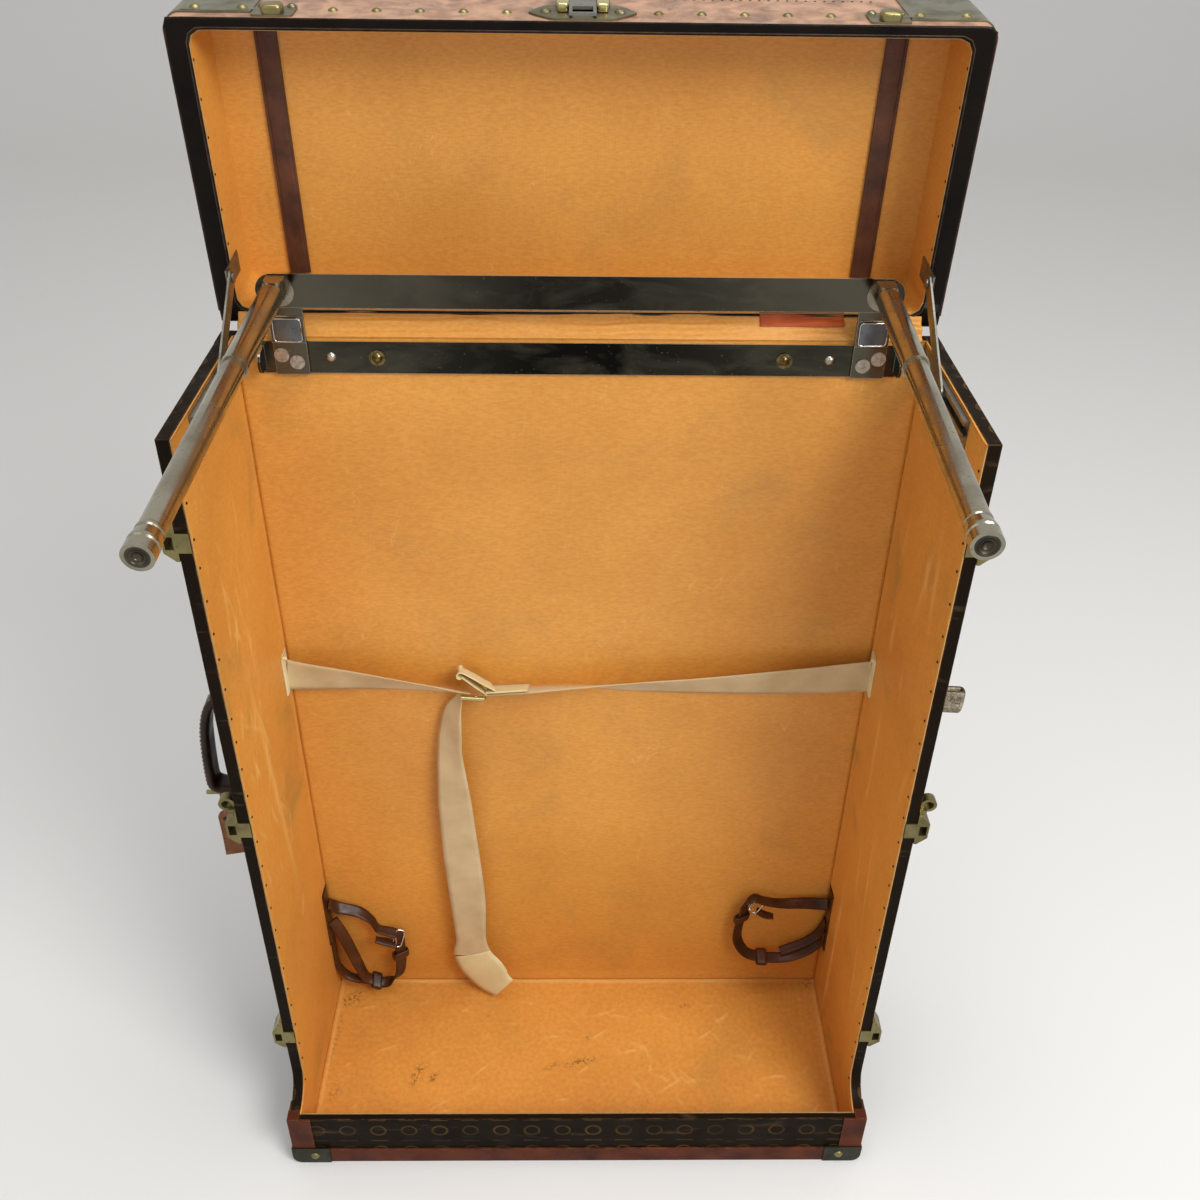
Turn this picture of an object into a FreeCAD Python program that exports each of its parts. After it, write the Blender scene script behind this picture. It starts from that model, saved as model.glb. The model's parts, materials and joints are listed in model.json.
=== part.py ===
import FreeCAD, Part
import os
import re

import Sketcher
from FreeCAD import Placement, Rotation, Vector

# An upright wardrobe trunk with its lid open and its hanging arms drawn out.
# Origin at the middle of the base's underside, +Z up, the open front facing -Y, millimetres and degrees.

SIZES = {
    # wooden shell
    "trunk_width": 560,
    "trunk_depth": 219.5,
    "trunk_height": 786,
    "side_thickness": 9.5,
    "back_thickness": 9,
    "base_thickness": 11,
    "lip_height": 70,
    "lip_thickness": 5.5,
    "lip_reach": 36,
    "lip_sweep": 27,
    "corner_round": 8,
    "lining_thickness": 1,
    # edge trims, corner caps and nails
    "trim_thickness": 1.5,
    "floor_gap": 0.5,
    "base_trim_height": 21,
    "corner_trim_width": 22,
    "lip_flap_depth": 26,
    "cap_thickness": 1.2,
    "cap_length": 36,
    "cap_height": 24,
    "nail_radius": 3.6,
    "nail_pitch": 29.5,
    "cap_rivet_inset": 21,
    "cap_rivet_radius": 4.2,
    # lid
    "lid_gap": 2,
    "lid_depth": 66,
    "lid_side_wall": 13.5,
    "lid_front_wall": 5.5,
    "lid_top_thickness": 9,
    "lid_corner_round": 10,
    "lid_rim_band": 30,
    "lid_top_band": 20,
    "lid_cap_length": 58,
    "lid_cap_height": 56,
    "lid_cap_depth": 34,
    "lid_nail_row": 20,
    "lid_rivet_inset": 18.5,
    "lid_rivet_pitch": 32,
    "lock_gap": 1,
    "batten_place": 226.5,
    "batten_width": 16,
    "batten_thickness": 2.5,
    # lid hinges
    "open_angle": 85.5,
    "hinge_offset": 4.5,
    "hinge_spacing": 190,
    "hinge_width": 60,
    "hinge_leaf_height": 28,
    "hinge_leaf_thickness": 1.5,
    "barrel_radius": 3.5,
    "pin_radius": 1.6,
    "pivot_clearance": 0.05,
    "side_clearance": 0.3,
    # lock, hasp and catches on the lid's front
    "lock_width": 74,
    "lock_height": 35,
    "lock_rivet_inset": 11.5,
    "lock_margin": 2,
    "plate_thickness": 1.5,
    "hasp_width": 18.5,
    "hasp_length": 38,
    "hasp_thickness": 2,
    "hasp_bar": 2.2,
    "hasp_slot": 14,
    "hasp_lug": 9,
    "hasp_knuckle": 2.4,
    "lug_width": 8.2,
    "lug_drop": 24,
    "catch_place": 208,
    "catch_width": 28,
    "catch_height": 27,
    "catch_tongue": 7,
    "catch_reach": 13,
    # lid stays
    "stay_reach": 46,
    "stay_drop": 10,
    "stay_length": 93,
    "stay_width": 13,
    "stay_thickness": 1.5,
    "stay_rivet_radius": 2,
    "stay_rivet_head": 4,
    "bracket_thickness": 1.2,
    "bracket_width": 16,
    "bracket_below": 7,
    "bracket_above": 20,
    "track_depth": 4.9,
    "track_height": 12.4,
    "track_wall": 1.2,
    "track_overrun": 10,
    "track_lip_thickness": 1,
    "track_lip_height": 2,
    "slider_length": 14,
    "stop_plate_length": 18,
    "stop_plate_height": 22,
    # hanger rail
    "rail_half_length": 248,
    "rail_height": 26.6,
    "rail_below_rim": 2.8,
    "rail_above_rim": 26,
    "rail_thickness": 3,
    "upper_rail_inset": 3.5,
    "upright_place": 212,
    "upright_width": 26,
    "upright_thickness": 2.5,
    "upright_pad_height": 21,
    "upright_pad_thickness": 1.2,
    "boss_radius": 12,
    "boss_thickness": 1,
    "disc_radius": 5.8,
    "disc_thickness": 1,
    "rail_ear_radius": 9,
    "rail_ear_reach": 9,
    "rail_ear_thickness": 2,
    "screw_place": 195,
    "screw_radius": 4,
    "ring_rivet_place": 159,
    "washer_radius": 6.4,
    # hanging arms
    "arm_place": 227.5,
    "arm_length": 320,
    "arm_droop_left": 5.4,
    "arm_droop_right": 3.5,
    "arm_swing_left": 2.15,
    "arm_swing_right": 1.35,
    "arm_rise": 5,
    "arm_standoff": 9.5,
    "arm_tube_start": 9,
    "arm_tube_length": 116,
    "arm_tube_wall": 0.8,
    "arm_end_wall": 1,
    "arm_neck_radius": 4.2,
    "ring_height": 0.5,
    "ring_slope": 1,
    "tube_ring_width": 4,
    "extension_ring_width": 2,
    "extension_start": 104.5,
    "extension_radius": 8.1,
    "extension_wall": 0.8,
    "sliding_clearance": 0.08,
    "knob_radius": 9.6,
    "knob_length": 10,
    "knob_collar": 2,
    "knob_groove": 2,
    "knob_dish_radius": 7.2,
    "knob_dish_depth": 3,
    "bell_length": 14,
    "arm_pin_radius": 2.5,
    "arm_eye_radius": 5.8,
    "arm_eye_half": 5,
    "ear_radius": 7,
    "ear_thickness": 2,
    # keepers for the lift-off front
    "keeper_top": 706,
    "keeper_middle": 427,
    "keeper_low": 150,
    "keeper_plate": 1.2,
    "keeper_half_height": 8,
    "keeper_reach": 10.5,
    "keeper_depth": 16,
    "keeper_leaf_depth": 28,
    "keeper_hole_half": 5.2,
    "keeper_flare": 15,
    "keeper_tail": 7,
    "lever_rise": 19,
    "lever_offset": 4,
    "lever_pin_radius": 1.1,
    "lever_knuckle": 2.2,
    "lever_ear_thickness": 2.5,
    "lever_tilt": 35,
    "lever_ring_radius": 6.8,
    "lever_hole_radius": 4.2,
    "lever_ring_rise": 6.5,
    "lever_width": 8,
    # carrying handles and luggage tag
    "handle_depth": 0,
    "handle_height": 459,
    "handle_half": 51,
    "handle_reach": 45.5,
    "handle_crown": 14,
    "handle_top_round": 60,
    "handle_bottom_round": 10,
    "grip_width": 24,
    "grip_thickness": 8,
    "mount_plate_width": 22,
    "mount_plate_height": 32,
    "mount_ear_thickness": 2.5,
    "handle_standoff": 12,
    "eye_radius": 5,
    "eye_half": 6,
    "handle_pin_radius": 2,
    "tag_rod_radius": 2,
    "tag_drop": 9.2,
    "tag_width": 22,
    "tag_hang": 22.8,
    "tag_length": 56,
    "tag_thickness": 3,
    "tag_place": 34.5,
    "tag_rod_reach": 50,
    "tag_strap_width": 8,
    "tag_loop_wall": 2,
    "side_handle_height": 508,
    "tab_height": 22.5,
    "tab_reach": 44,
    "tab_fold": 11,
    "tab_slot": 1.4,
    "tab_round": 3.5,
    "tab_plate_width": 26,
    "tab_plate_margin": 5,
    # straps inside
    "strap_standoff": 13,
    "strap_height": 463,
    "strap_width": 35,
    "strap_sag": 15,
    "strap_thickness": 1.6,
    "strap_tab_half": 9,
    "buckle_place": -92,
    "buckle_width": 20,
    "buckle_height": 18,
    "tail_width": 34,
    "tail_shift": 20,
    "tail_standoff": 2,
    "tail_end": 18,
    "boot_strap_standoff": 12,
    "boot_strap_width": 15,
    "boot_strap_thickness": 3,
    "boot_strap_reach": 84,
    "boot_strap_low": 60,
    "boot_strap_high": 150,
    "anchor_thickness": 1.5,
    "anchor_margin": 2,
    "boot_anchor_below": 6,
    "boot_anchor_above": 8,
    "buckle_thickness": 4,
    "buckle_wire": 2.5,
    "small_buckle_length": 4,
    "small_buckle_wire": 2,
    "small_buckle_place": 60,
}

# Places worked out from the sizes; a formula may use sizes and other places.
PLACES = {
    "rim": "trunk_height",
    "side_out": "trunk_width / 2",
    "side_in": "side_out - side_thickness",
    "side_face": "side_in - lining_thickness",
    "back_out": "trunk_depth / 2",
    "back_in": "back_out - back_thickness",
    "back_face": "back_in - lining_thickness",
    "front_out": "0 - trunk_depth / 2",
    "side_front": "front_out + lip_reach",
    "lip_in": "front_out + lip_thickness",
    "floor_face": "base_thickness + lining_thickness",
    "trim_side": "side_out + trim_thickness",
    "trim_front": "front_out - trim_thickness",
    "trim_back": "back_out + trim_thickness",
    "hinge_y": "back_out + hinge_offset",
    "hinge_z": "rim + lid_gap / 2",
    "lid_low": "rim + lid_gap",
    "lid_high": "lid_low + lid_depth",
    "lid_top_in": "lid_high - lid_top_thickness",
    "lid_side_in": "side_out - lid_side_wall",
    "lid_side_face": "lid_side_in - lining_thickness",
    "lid_front_in": "front_out + lid_front_wall",
    "lid_top_face": "lid_top_in - lining_thickness",
    "hasp_y": "trim_front - plate_thickness - hasp_knuckle - side_clearance",
    "hasp_z": "lid_low + hasp_length + 1",
    "stay_z": "hinge_z - stay_drop",
    "stay_pivot_y": "hinge_y - stay_reach",
    "stay_open_y": "hinge_y - stay_reach * cos(open_angle) - stay_drop * sin(open_angle)",
    "stay_open_z": "hinge_z + stay_reach * sin(open_angle) - stay_drop * cos(open_angle)",
    "stay_climb": "stay_open_z - stay_z",
    "slider_open": "stay_open_y - sqrt(stay_length ^ 2 - (stay_climb) ^ 2)",
    "slider_closed": "stay_pivot_y - stay_length",
    "track_face": "side_face - track_depth",
    "track_front": "slider_closed - track_overrun",
    "track_back": "slider_open + track_overrun",
    "stay_inner": "lid_side_face - bracket_thickness - side_clearance - stay_thickness",
    "lower_rail_top": "rim - rail_below_rim",
    "lower_rail_low": "lower_rail_top - rail_height",
    "lower_rail_front": "back_face - rail_thickness",
    "upright_front": "lower_rail_front - upright_thickness",
    "upper_rail_front": "upright_front - rail_thickness",
    "upper_rail_middle": "rim + rail_above_rim + rail_height / 2",
    "boss_front": "upper_rail_front - boss_thickness",
    "arm_y": "boss_front - arm_standoff",
    "arm_z": "upper_rail_middle + arm_rise",
    "ear_low": "arm_eye_half + side_clearance",
    "ear_high": "ear_low + ear_thickness",
    "arm_bore": "extension_radius + sliding_clearance",
    "arm_tube_radius": "arm_bore + arm_tube_wall",
    "keeper_face": "side_out + keeper_plate",
    "keeper_out": "side_out + keeper_reach",
    "lever_x": "side_out + lever_offset",
    "lever_y": "side_front + keeper_depth / 2",
    "lever_ear": "lever_width / 2 + side_clearance",
    "handle_x": "side_out + handle_standoff",
    "grip_end": "handle_x + eye_radius + 1",
    "mount_ear": "eye_radius - 0.5",
    "tag_z": "handle_height - handle_half - tag_drop",
    "tag_top": "tag_z - tag_hang",
    "tab_foot": "side_out + plate_thickness",
    "strap_y": "back_face - strap_standoff",
    "strap_end": "side_face - anchor_thickness",
    "buckle_z": "strap_height - strap_sag",
    "boot_strap_y": "back_face - boot_strap_standoff",
}

SIDES = (("left", -1), ("right", 1))
TURNS = {
    "x": Rotation(Vector(0, 1, 0), 90),
    "-x": Rotation(Vector(0, 1, 0), -90),
    "y": Rotation(Vector(1, 0, 0), -90),
    "-y": Rotation(Vector(1, 0, 0), 90),
    "z": Rotation(),
}
DOME_START = 30  # latitude at which a nail's dome starts on its sphere

doc = FreeCAD.newDocument("wardrobe_trunk")
dims = doc.addObject("Spreadsheet::Sheet", "dims")
nodes = []


def fill_sheet():
    for row, (alias, size) in enumerate(SIZES.items(), 1):
        dims.set(f"A{row}", alias.replace("_", " "))
        dims.set(f"B{row}", str(size))
        dims.setAlias(f"B{row}", alias)
    doc.recompute()


def spell(formula):
    """Spell a formula out: places become their own formulas, sizes become cells of the sheet."""

    def word(found):
        name = found.group()
        if name in PLACES:
            return f"({spell(PLACES[name])})"
        return f"dims.{name}" if name in SIZES else name

    return re.sub(r"[a-z_][a-z_0-9]*", word, str(formula))


def value(formula):
    return float(dims.evalExpression(spell(formula)))


def bind(thing, **formulas):
    for path, formula in formulas.items():
        thing.setExpression(path.replace("__", "."), spell(formula))
    return thing


def put(thing, x, y, z, turn="z"):
    """Place a primitive by three formulas, its own Z axis turned along the named axis."""
    thing.Placement = Placement(Vector(), TURNS[turn])
    return bind(thing, Placement__Base__x=x, Placement__Base__y=y, Placement__Base__z=z)


def span(sign, near, far):
    """Limits in X of a piece that reaches from near to far, out from the middle, on one side."""
    return (near, far) if sign > 0 else (f"-({far})", f"-({near})")


def around(middle, half):
    return f"({middle}) - ({half})", f"({middle}) + ({half})"


def box(x, y, z):
    """A block between the low and high formulas of each axis."""
    block = doc.addObject("Part::Box", "block")
    bind(block, Length=f"({x[1]}) - ({x[0]})", Width=f"({y[1]}) - ({y[0]})", Height=f"({z[1]}) - ({z[0]})")
    return put(block, x[0], y[0], z[0])


def rod(axis, radius, ends, across, up):
    """A cylinder along axis between ends; across and up are its other two coordinates in X, Y, Z order."""
    cylinder = doc.addObject("Part::Cylinder", "rod")
    bind(cylinder, Radius=radius, Height=f"({ends[1]}) - ({ends[0]})")
    place = {"x": (ends[0], across, up), "y": (across, ends[0], up), "z": (across, up, ends[0])}
    return put(cylinder, *place[axis], turn=axis)


def dome(facing, radius, x, y, z):
    """A nail or rivet head: a slice of a sphere whose flat side lies on a face."""
    head = doc.addObject("Part::Sphere", "dome")
    head.Angle1 = DOME_START
    bind(head, Radius=f"({radius}) / cos({DOME_START})")
    sunk = f"({radius}) * tan({DOME_START})"
    place = dict(zip("xyz", (x, y, z)))
    axis = facing[-1]
    place[axis] = f"({place[axis]}) {'+' if facing[0] == '-' else '-'} {sunk}"
    return put(head, place["x"], place["y"], place["z"], turn=facing)


def wedge(x_low, foot, top, y, z):
    """A block whose reach in X changes from foot at the bottom to top at the top."""
    block = doc.addObject("Part::Wedge", "wedge")
    block.Xmin = block.X2min = block.Ymin = block.Zmin = block.Z2min = 0
    depth = f"({y[1]}) - ({y[0]})"
    bind(block, Xmax=foot, X2max=top, Ymax=f"({z[1]}) - ({z[0]})", Zmax=depth, Z2max=depth)
    return put(block, x_low, y[1], z[0], turn="-y")


def fuse(*pieces):
    union = doc.addObject("Part::MultiFuse", "union")
    union.Shapes = list(pieces)
    return union


def cut(base, *tools):
    result = doc.addObject("Part::Cut", "cut")
    result.Base = base
    result.Tool = tools[0] if len(tools) == 1 else fuse(*tools)
    return result


def common(base, tool):
    result = doc.addObject("Part::Common", "common")
    result.Base = base
    result.Tool = tool
    return result


def group(*pieces):
    bundle = doc.addObject("Part::Compound", "bundle")
    bundle.Links = list(pieces)
    return bundle


def mirror(piece):
    """The same piece on the other side of the trunk's middle plane."""
    copy = doc.addObject("Part::Mirroring", "mirrored")
    copy.Source = piece
    copy.Normal = Vector(1, 0, 0)
    return copy


def rounded(base, radius, chosen):
    """Round the edges of base whose middle point passes the test."""
    doc.recompute()
    size = value(radius)
    fillet = doc.addObject("Part::Fillet", "rounded")
    fillet.Base = base
    numbered = enumerate(base.Shape.Edges, 1)
    fillet.Edges = [(i, size, size) for i, edge in numbered if chosen(edge.CenterOfMass)]
    return fillet


def turned(piece, axis, angle, x, y, z):
    """Turn a whole piece by a formula's angle about a line through a point."""
    line = ";".join(str(c) for c in axis)
    centre = ";".join(spell(c) for c in (x, y, z))
    piece.setExpression(
        "Placement",
        "create(<<placement>>; create(<<vector>>; 0; 0; 0);"
        f" create(<<rotation>>; create(<<vector>>; {line}); {spell(angle)}); create(<<vector>>; {centre}))",
    )
    return piece


def node(label, *pieces):
    """Name a finished sub-part: one piece, or a bundle of separate solids."""
    part = pieces[0] if len(pieces) == 1 else group(*pieces)
    part.Label = label
    nodes.append(part)
    return part


def lid_node(label, *pieces):
    """A sub-part drawn on the closed lid, swung back with it about the hinge line."""
    return turned(node(label, group(*pieces)), (1, 0, 0), "0 - open_angle", "0", "hinge_y", "hinge_z")


def origin_plane(body, role):
    return next(f for f in body.Origin.OriginFeatures if f.Role == role)


def outline(body, plane, corners):
    """A sketch of straight lines between corners, each corner held by two formulas."""
    sketch = body.newObject("Sketcher::SketchObject", "outline")
    sketch.AttachmentSupport = [(origin_plane(body, plane), "")]
    sketch.MapMode = "FlatFace"
    points = [Vector(value(a), value(b), 0) for a, b in corners]
    ends = points[1:] + points[:1]
    for start, end in zip(points, ends):
        sketch.addGeometry(Part.LineSegment(start, end), False)
    for i, (a, b) in enumerate(corners):
        sketch.addConstraint(Sketcher.Constraint("Coincident", i, 2, (i + 1) % len(corners), 1))
        for kind, formula, size in (("DistanceX", a, points[i].x), ("DistanceY", b, points[i].y)):
            number = sketch.addConstraint(Sketcher.Constraint(kind, -1, 1, i, 1, size))
            sketch.setExpression(f"Constraints[{number}]", spell(formula))
    return sketch


def padded(plane, corners, thickness):
    """A body made by padding an outline."""
    body = doc.addObject("PartDesign::Body", "plate")
    pad = body.newObject("PartDesign::Pad", "pad")
    pad.Profile = outline(body, plane, corners)
    bind(pad, Length=thickness)
    doc.recompute()
    return body, pad


def revolved(corners):
    """A body made by turning an outline about its own vertical axis."""
    body = doc.addObject("PartDesign::Body", "turning")
    sketch = outline(body, "XZ_Plane", corners)
    turning = body.newObject("PartDesign::Revolution", "revolution")
    turning.Profile = sketch
    turning.ReferenceAxis = (sketch, ["V_Axis"])
    turning.Angle = 360
    doc.recompute()
    return body


def eased(body, base, radius, chosen):
    """Add a fillet to a body on the edges whose middle point passes the test."""
    fillet = body.newObject("PartDesign::Fillet", "fillet")
    edges = [f"Edge{i}" for i, edge in enumerate(base.Shape.Edges, 1) if chosen(edge.CenterOfMass)]
    fillet.Base = (base, edges)
    bind(fillet, Radius=radius)
    body.Tip = fillet
    doc.recompute()
    return fillet


# --- shell -----------------------------------------------------------------


def side_profile(low, front):
    """Side outline in Y and Z: straight up the back, down the open front, forward along the base."""
    return [
        ("back_out" if low == "0" else "back_in", low),
        ("back_out" if low == "0" else "back_in", "rim"),
        ("side_front", "rim"),
        ("side_front", "lip_height"),
        (front, "lip_height"),
        (front, low),
    ]


def side_sheet(low, front, thickness, x):
    """A side board or its lining, with a hollow sweep where the open front meets the base."""
    body, pad = padded("YZ_Plane", side_profile(low, front), thickness)
    inner_y, inner_z = value("side_front"), value("lip_height")
    sweep = f"min(lip_sweep; (side_front) - ({front}) - 1)"
    hollow = eased(body, pad, sweep, lambda p: abs(p.y - inner_y) < 0.01 and abs(p.z - inner_z) < 0.01)
    put(body, x, "0", "0")
    return body, hollow


def shell():
    inside = ("0 - side_in", "side_in")
    for side, sign in SIDES:
        low_x = span(sign, "side_in", "side_out")[0]
        body, hollow = side_sheet("0", "front_out", "side_thickness", low_x)
        outer = 0 if sign < 0 else value("side_thickness")
        eased(body, hollow, "corner_round", lambda p: abs(p.x - outer) < 0.01 and abs(p.z) < 0.01)
        node(f"{side}_side_panel", body)
    node("back_panel", box(inside, ("back_in", "back_out"), ("0", "rim")))
    node("base_panel", box(inside, ("lip_in", "back_in"), ("0", "base_thickness")))
    node("front_lip", box(inside, ("front_out", "lip_in"), ("0", "lip_height")))


def linings():
    inside = ("0 - side_face", "side_face")
    sheets = []
    for _, sign in SIDES:
        low_x = span(sign, "side_face", "side_in")[0]
        body, _ = side_sheet("base_thickness", "lip_in", "lining_thickness", low_x)
        sheets.append(body)
    node("side_linings", *sheets)
    node("back_lining", box(inside, ("back_face", "back_in"), ("base_thickness", "rim")))
    floor = box(inside, ("lip_in", "back_face"), ("base_thickness", "floor_face"))
    lip = box(inside, ("lip_in", "lip_in + lining_thickness"), ("base_thickness", "lip_height"))
    node("floor_lining", fuse(floor, lip))


def footprint(grow, z):
    """A block over the trunk's footprint, grown on its four sides."""
    side, front, back = (f"({edge}) + ({grow})" for edge in ("side_out", "0 - front_out", "back_out"))
    return box((f"-({side})", side), (f"-({front})", back), z)


def rounded_foot(grow, high):
    """A grown footprint that stands on the floor, its two long bottom edges rounded with it."""
    block = footprint(grow, ("0", high))
    return rounded(block, f"corner_round + {grow}", lambda p: abs(p.z) < 0.01 and abs(p.x) > 1)


def foot_jacket(inner, thickness, high):
    """A hollow jacket around the foot, from inner outwards, that stops just above the floor."""
    outer = f"{inner} + {thickness}"
    above = footprint(f"{outer} + 1", ("floor_gap", high))
    return cut(common(rounded_foot(outer, high), above), rounded_foot(inner, f"{high} + 1"))


def corner_columns(length, z, out="10", front=True, back=True):
    """Blocks that pick the corners out of a jacket."""
    columns = []
    for _, sign in SIDES:
        x = span(sign, f"trim_side - ({length})", f"trim_side + {out}")
        if front:
            columns.append(box(x, (f"trim_front - {out}", f"trim_front + ({length})"), z))
        if back:
            columns.append(box(x, (f"trim_back - ({length})", f"trim_back + {out}"), z))
    return columns


def base_trims():
    node("base_trims", foot_jacket("0", "trim_thickness", "base_trim_height"))
    caps = foot_jacket("trim_thickness", "cap_thickness", "cap_height")
    node("base_corner_caps", common(caps, group(*corner_columns("cap_length", ("0", "cap_height")))))


def edge_trims():
    """Leather edging up the four corners; the front pair folds over the base's shoulders."""
    jacket_z = ("base_trim_height", "rim - hinge_leaf_thickness")
    hollow = footprint("0", ("base_trim_height - 1", "rim + 1"))
    jacket = cut(footprint("trim_thickness", jacket_z), hollow)
    tall = corner_columns("corner_trim_width", ("base_trim_height", "rim"), front=False)
    short = corner_columns("corner_trim_width", ("base_trim_height", "lip_height"), back=False)
    corners = [common(jacket, column) for column in tall]
    for column, (_, sign) in zip(short, SIDES):
        flap = box(
            span(sign, "side_in", "trim_side"),
            ("trim_front", "front_out + min(lip_flap_depth; lip_reach - lip_sweep)"),
            ("lip_height", "lip_height + trim_thickness"),
        )
        corners.append(fuse(common(jacket, column), flap))
    node("edge_trims", *corners)


def trunk_nails():
    """Nail heads down both faces of the two back corners, and the rivets of the base's caps."""
    first = "cap_height + nail_pitch / 2"
    count = int(value("(rim - hinge_leaf_height - cap_height) / nail_pitch"))
    middle = "corner_trim_width / 2"
    heads = []
    for i in range(count):
        z = f"{first} + {i} * nail_pitch"
        for sign in (-1, 1):
            across = f"{sign} * (trim_side - {middle})"
            heads.append(dome("y", "nail_radius", across, "trim_back", z))
            out = "x" if sign > 0 else "-x"
            heads.append(dome(out, "nail_radius", f"{sign} * (trim_side)", f"trim_back - {middle}", z))
    for sign in (-1, 1):
        across = f"{sign} * (trim_side - cap_rivet_inset)"
        heads.append(dome("-y", "cap_rivet_radius", across, "trim_front - cap_thickness", "cap_height / 2"))
    node("trunk_nails", *heads)


# --- keepers for the lift-off front ------------------------------------------


def keeper(height, with_lever):
    """A socket bracket on the right side's front edge, its square hole facing forward."""
    depth = ("side_front - keeper_plate", "side_front + keeper_depth")
    top = f"{height} + keeper_half_height"
    low = f"{height} - keeper_half_height"
    reach = "keeper_reach - keeper_plate"
    flare_top = f"{height} + lever_rise - lever_knuckle" if with_lever else f"{top} + keeper_flare"
    leaf_top = f"{height} + lever_rise + lever_knuckle" if with_lever else flare_top
    leaf_y = ("side_front - keeper_plate", "side_front + keeper_leaf_depth")
    solids = [
        box(("side_in", "keeper_face"), ("side_front - keeper_plate", "side_front"), (low, top)),
        box(("side_out", "keeper_face"), leaf_y, (f"{low} - keeper_tail", leaf_top)),
        box(("keeper_face", "keeper_out"), depth, (low, top)),
        wedge("keeper_face", reach, "keeper_plate", depth, (top, flare_top)),
        wedge("keeper_face", "keeper_plate", reach, depth, (f"{low} - keeper_tail", low)),
    ]
    if with_lever:
        solids += lever_ears(f"{height} + lever_rise")
    hole = box(
        ("keeper_face + keeper_plate", "keeper_out - keeper_plate * 1.5"),
        (f"{depth[0]} - 1", f"{depth[1]} + 1"),
        around(height, "keeper_hole_half"),
    )
    return cut(fuse(*solids), hole)


def lever_ears(pivot):
    """Two ears and the pin between them that a lever turns on."""
    pin = rod("y", "lever_pin_radius", around("lever_y", "lever_ear + lever_ear_thickness"), "lever_x", pivot)
    ears = []
    for sign in (-1, 1):
        ear_y = around(f"lever_y + {sign} * (lever_ear + lever_ear_thickness / 2)", "lever_ear_thickness / 2")
        ears.append(box(("keeper_face", "lever_x + lever_knuckle"), ear_y, around(pivot, "lever_knuckle")))
    return [pin, *ears]


def keepers():
    places = (("keeper_top", False), ("keeper_middle", True), ("keeper_low", False))
    right = [keeper(height, with_lever) for height, with_lever in places]
    node("left_keepers", *[mirror(piece) for piece in right])
    node("right_keepers", *right)


def keeper_lever():
    """A ring on a neck that hooks down over the front's stud; drawn upright, then tipped outwards."""
    pivot = "keeper_middle + lever_rise"
    ring_z = f"{pivot} + lever_ring_rise"
    width = around("lever_y", "lever_width / 2")
    through = around("lever_y", "lever_width")
    solid = fuse(
        rod("y", "lever_knuckle", width, "lever_x", pivot),
        box(around("lever_x", "lever_knuckle * 0.7"), width, (pivot, ring_z)),
        rod("y", "lever_ring_radius", width, "lever_x", ring_z),
    )
    hole = rod("y", "lever_hole_radius", through, "lever_x", ring_z)
    bore = rod("y", "lever_pin_radius + pivot_clearance", through, "lever_x", pivot)
    lever = turned(group(cut(solid, hole, bore)), (0, 1, 0), "lever_tilt", "lever_x", "0", pivot)
    node("keeper_lever_left", mirror(lever))
    node("keeper_lever_right", lever)


# --- lid ---------------------------------------------------------------------


def rounded_front(x, y, z, radius):
    """A block whose two front upright edges are rounded."""
    front, middle = value(y[0]), value(f"(({z[0]}) + ({z[1]})) / 2")
    return rounded(box(x, y, z), radius, lambda p: abs(p.y - front) < 0.01 and abs(p.z - middle) < 0.01)


def lid_boards():
    walls_z = ("lid_low", "lid_top_in")
    whole = ("0 - side_out", "side_out")
    top_y, top_z = ("front_out", "back_out"), ("lid_top_in", "lid_high")
    lid_node("lid_top_panel", rounded_front(whole, top_y, top_z, "corner_round"))
    front = box(whole, ("front_out", "lid_front_in"), walls_z)
    lid_node("lid_front_wall", common(lid_jacket("0", walls_z, "corner_round"), front))
    lid_node("lid_back_wall", box(whole, ("back_in", "back_out"), walls_z))
    sides_y = ("lid_front_in", "back_in")
    sides = [box(span(sign, "lid_side_in", "side_out"), sides_y, walls_z) for _, sign in SIDES]
    lid_node("lid_side_walls", *[common(lid_jacket("0", walls_z, "corner_round"), side) for side in sides])


def lid_lining():
    """One cloth-covered tray with round inner corners, open at the rim."""
    outer = box(("0 - lid_side_in", "lid_side_in"), ("lid_front_in", "back_in"), ("lid_low", "lid_top_in"))
    inner_y = ("lid_front_in + lining_thickness", "back_face")
    inner = box(("0 - lid_side_face", "lid_side_face"), inner_y, ("lid_low - 1", "lid_top_face"))
    middle = value("(lid_low - 1 + lid_top_face) / 2")
    hollow = rounded(inner, "lid_corner_round", lambda p: abs(p.z - middle) < 0.01)
    lid_node("lid_lining", cut(outer, hollow))


def lid_battens():
    battens = []
    for sign in (-1, 1):
        x = around(f"{sign} * batten_place", "batten_width / 2")
        y = ("lid_front_in + lining_thickness", "back_face")
        battens.append(box(x, y, ("lid_top_face - batten_thickness", "lid_top_face")))
    lid_node("lid_battens", *battens)


def lid_jacket(grow, z, radius):
    side = f"side_out + {grow}"
    return rounded_front((f"-({side})", side), (f"front_out - ({grow})", f"back_out + ({grow})"), z, radius)


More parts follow.
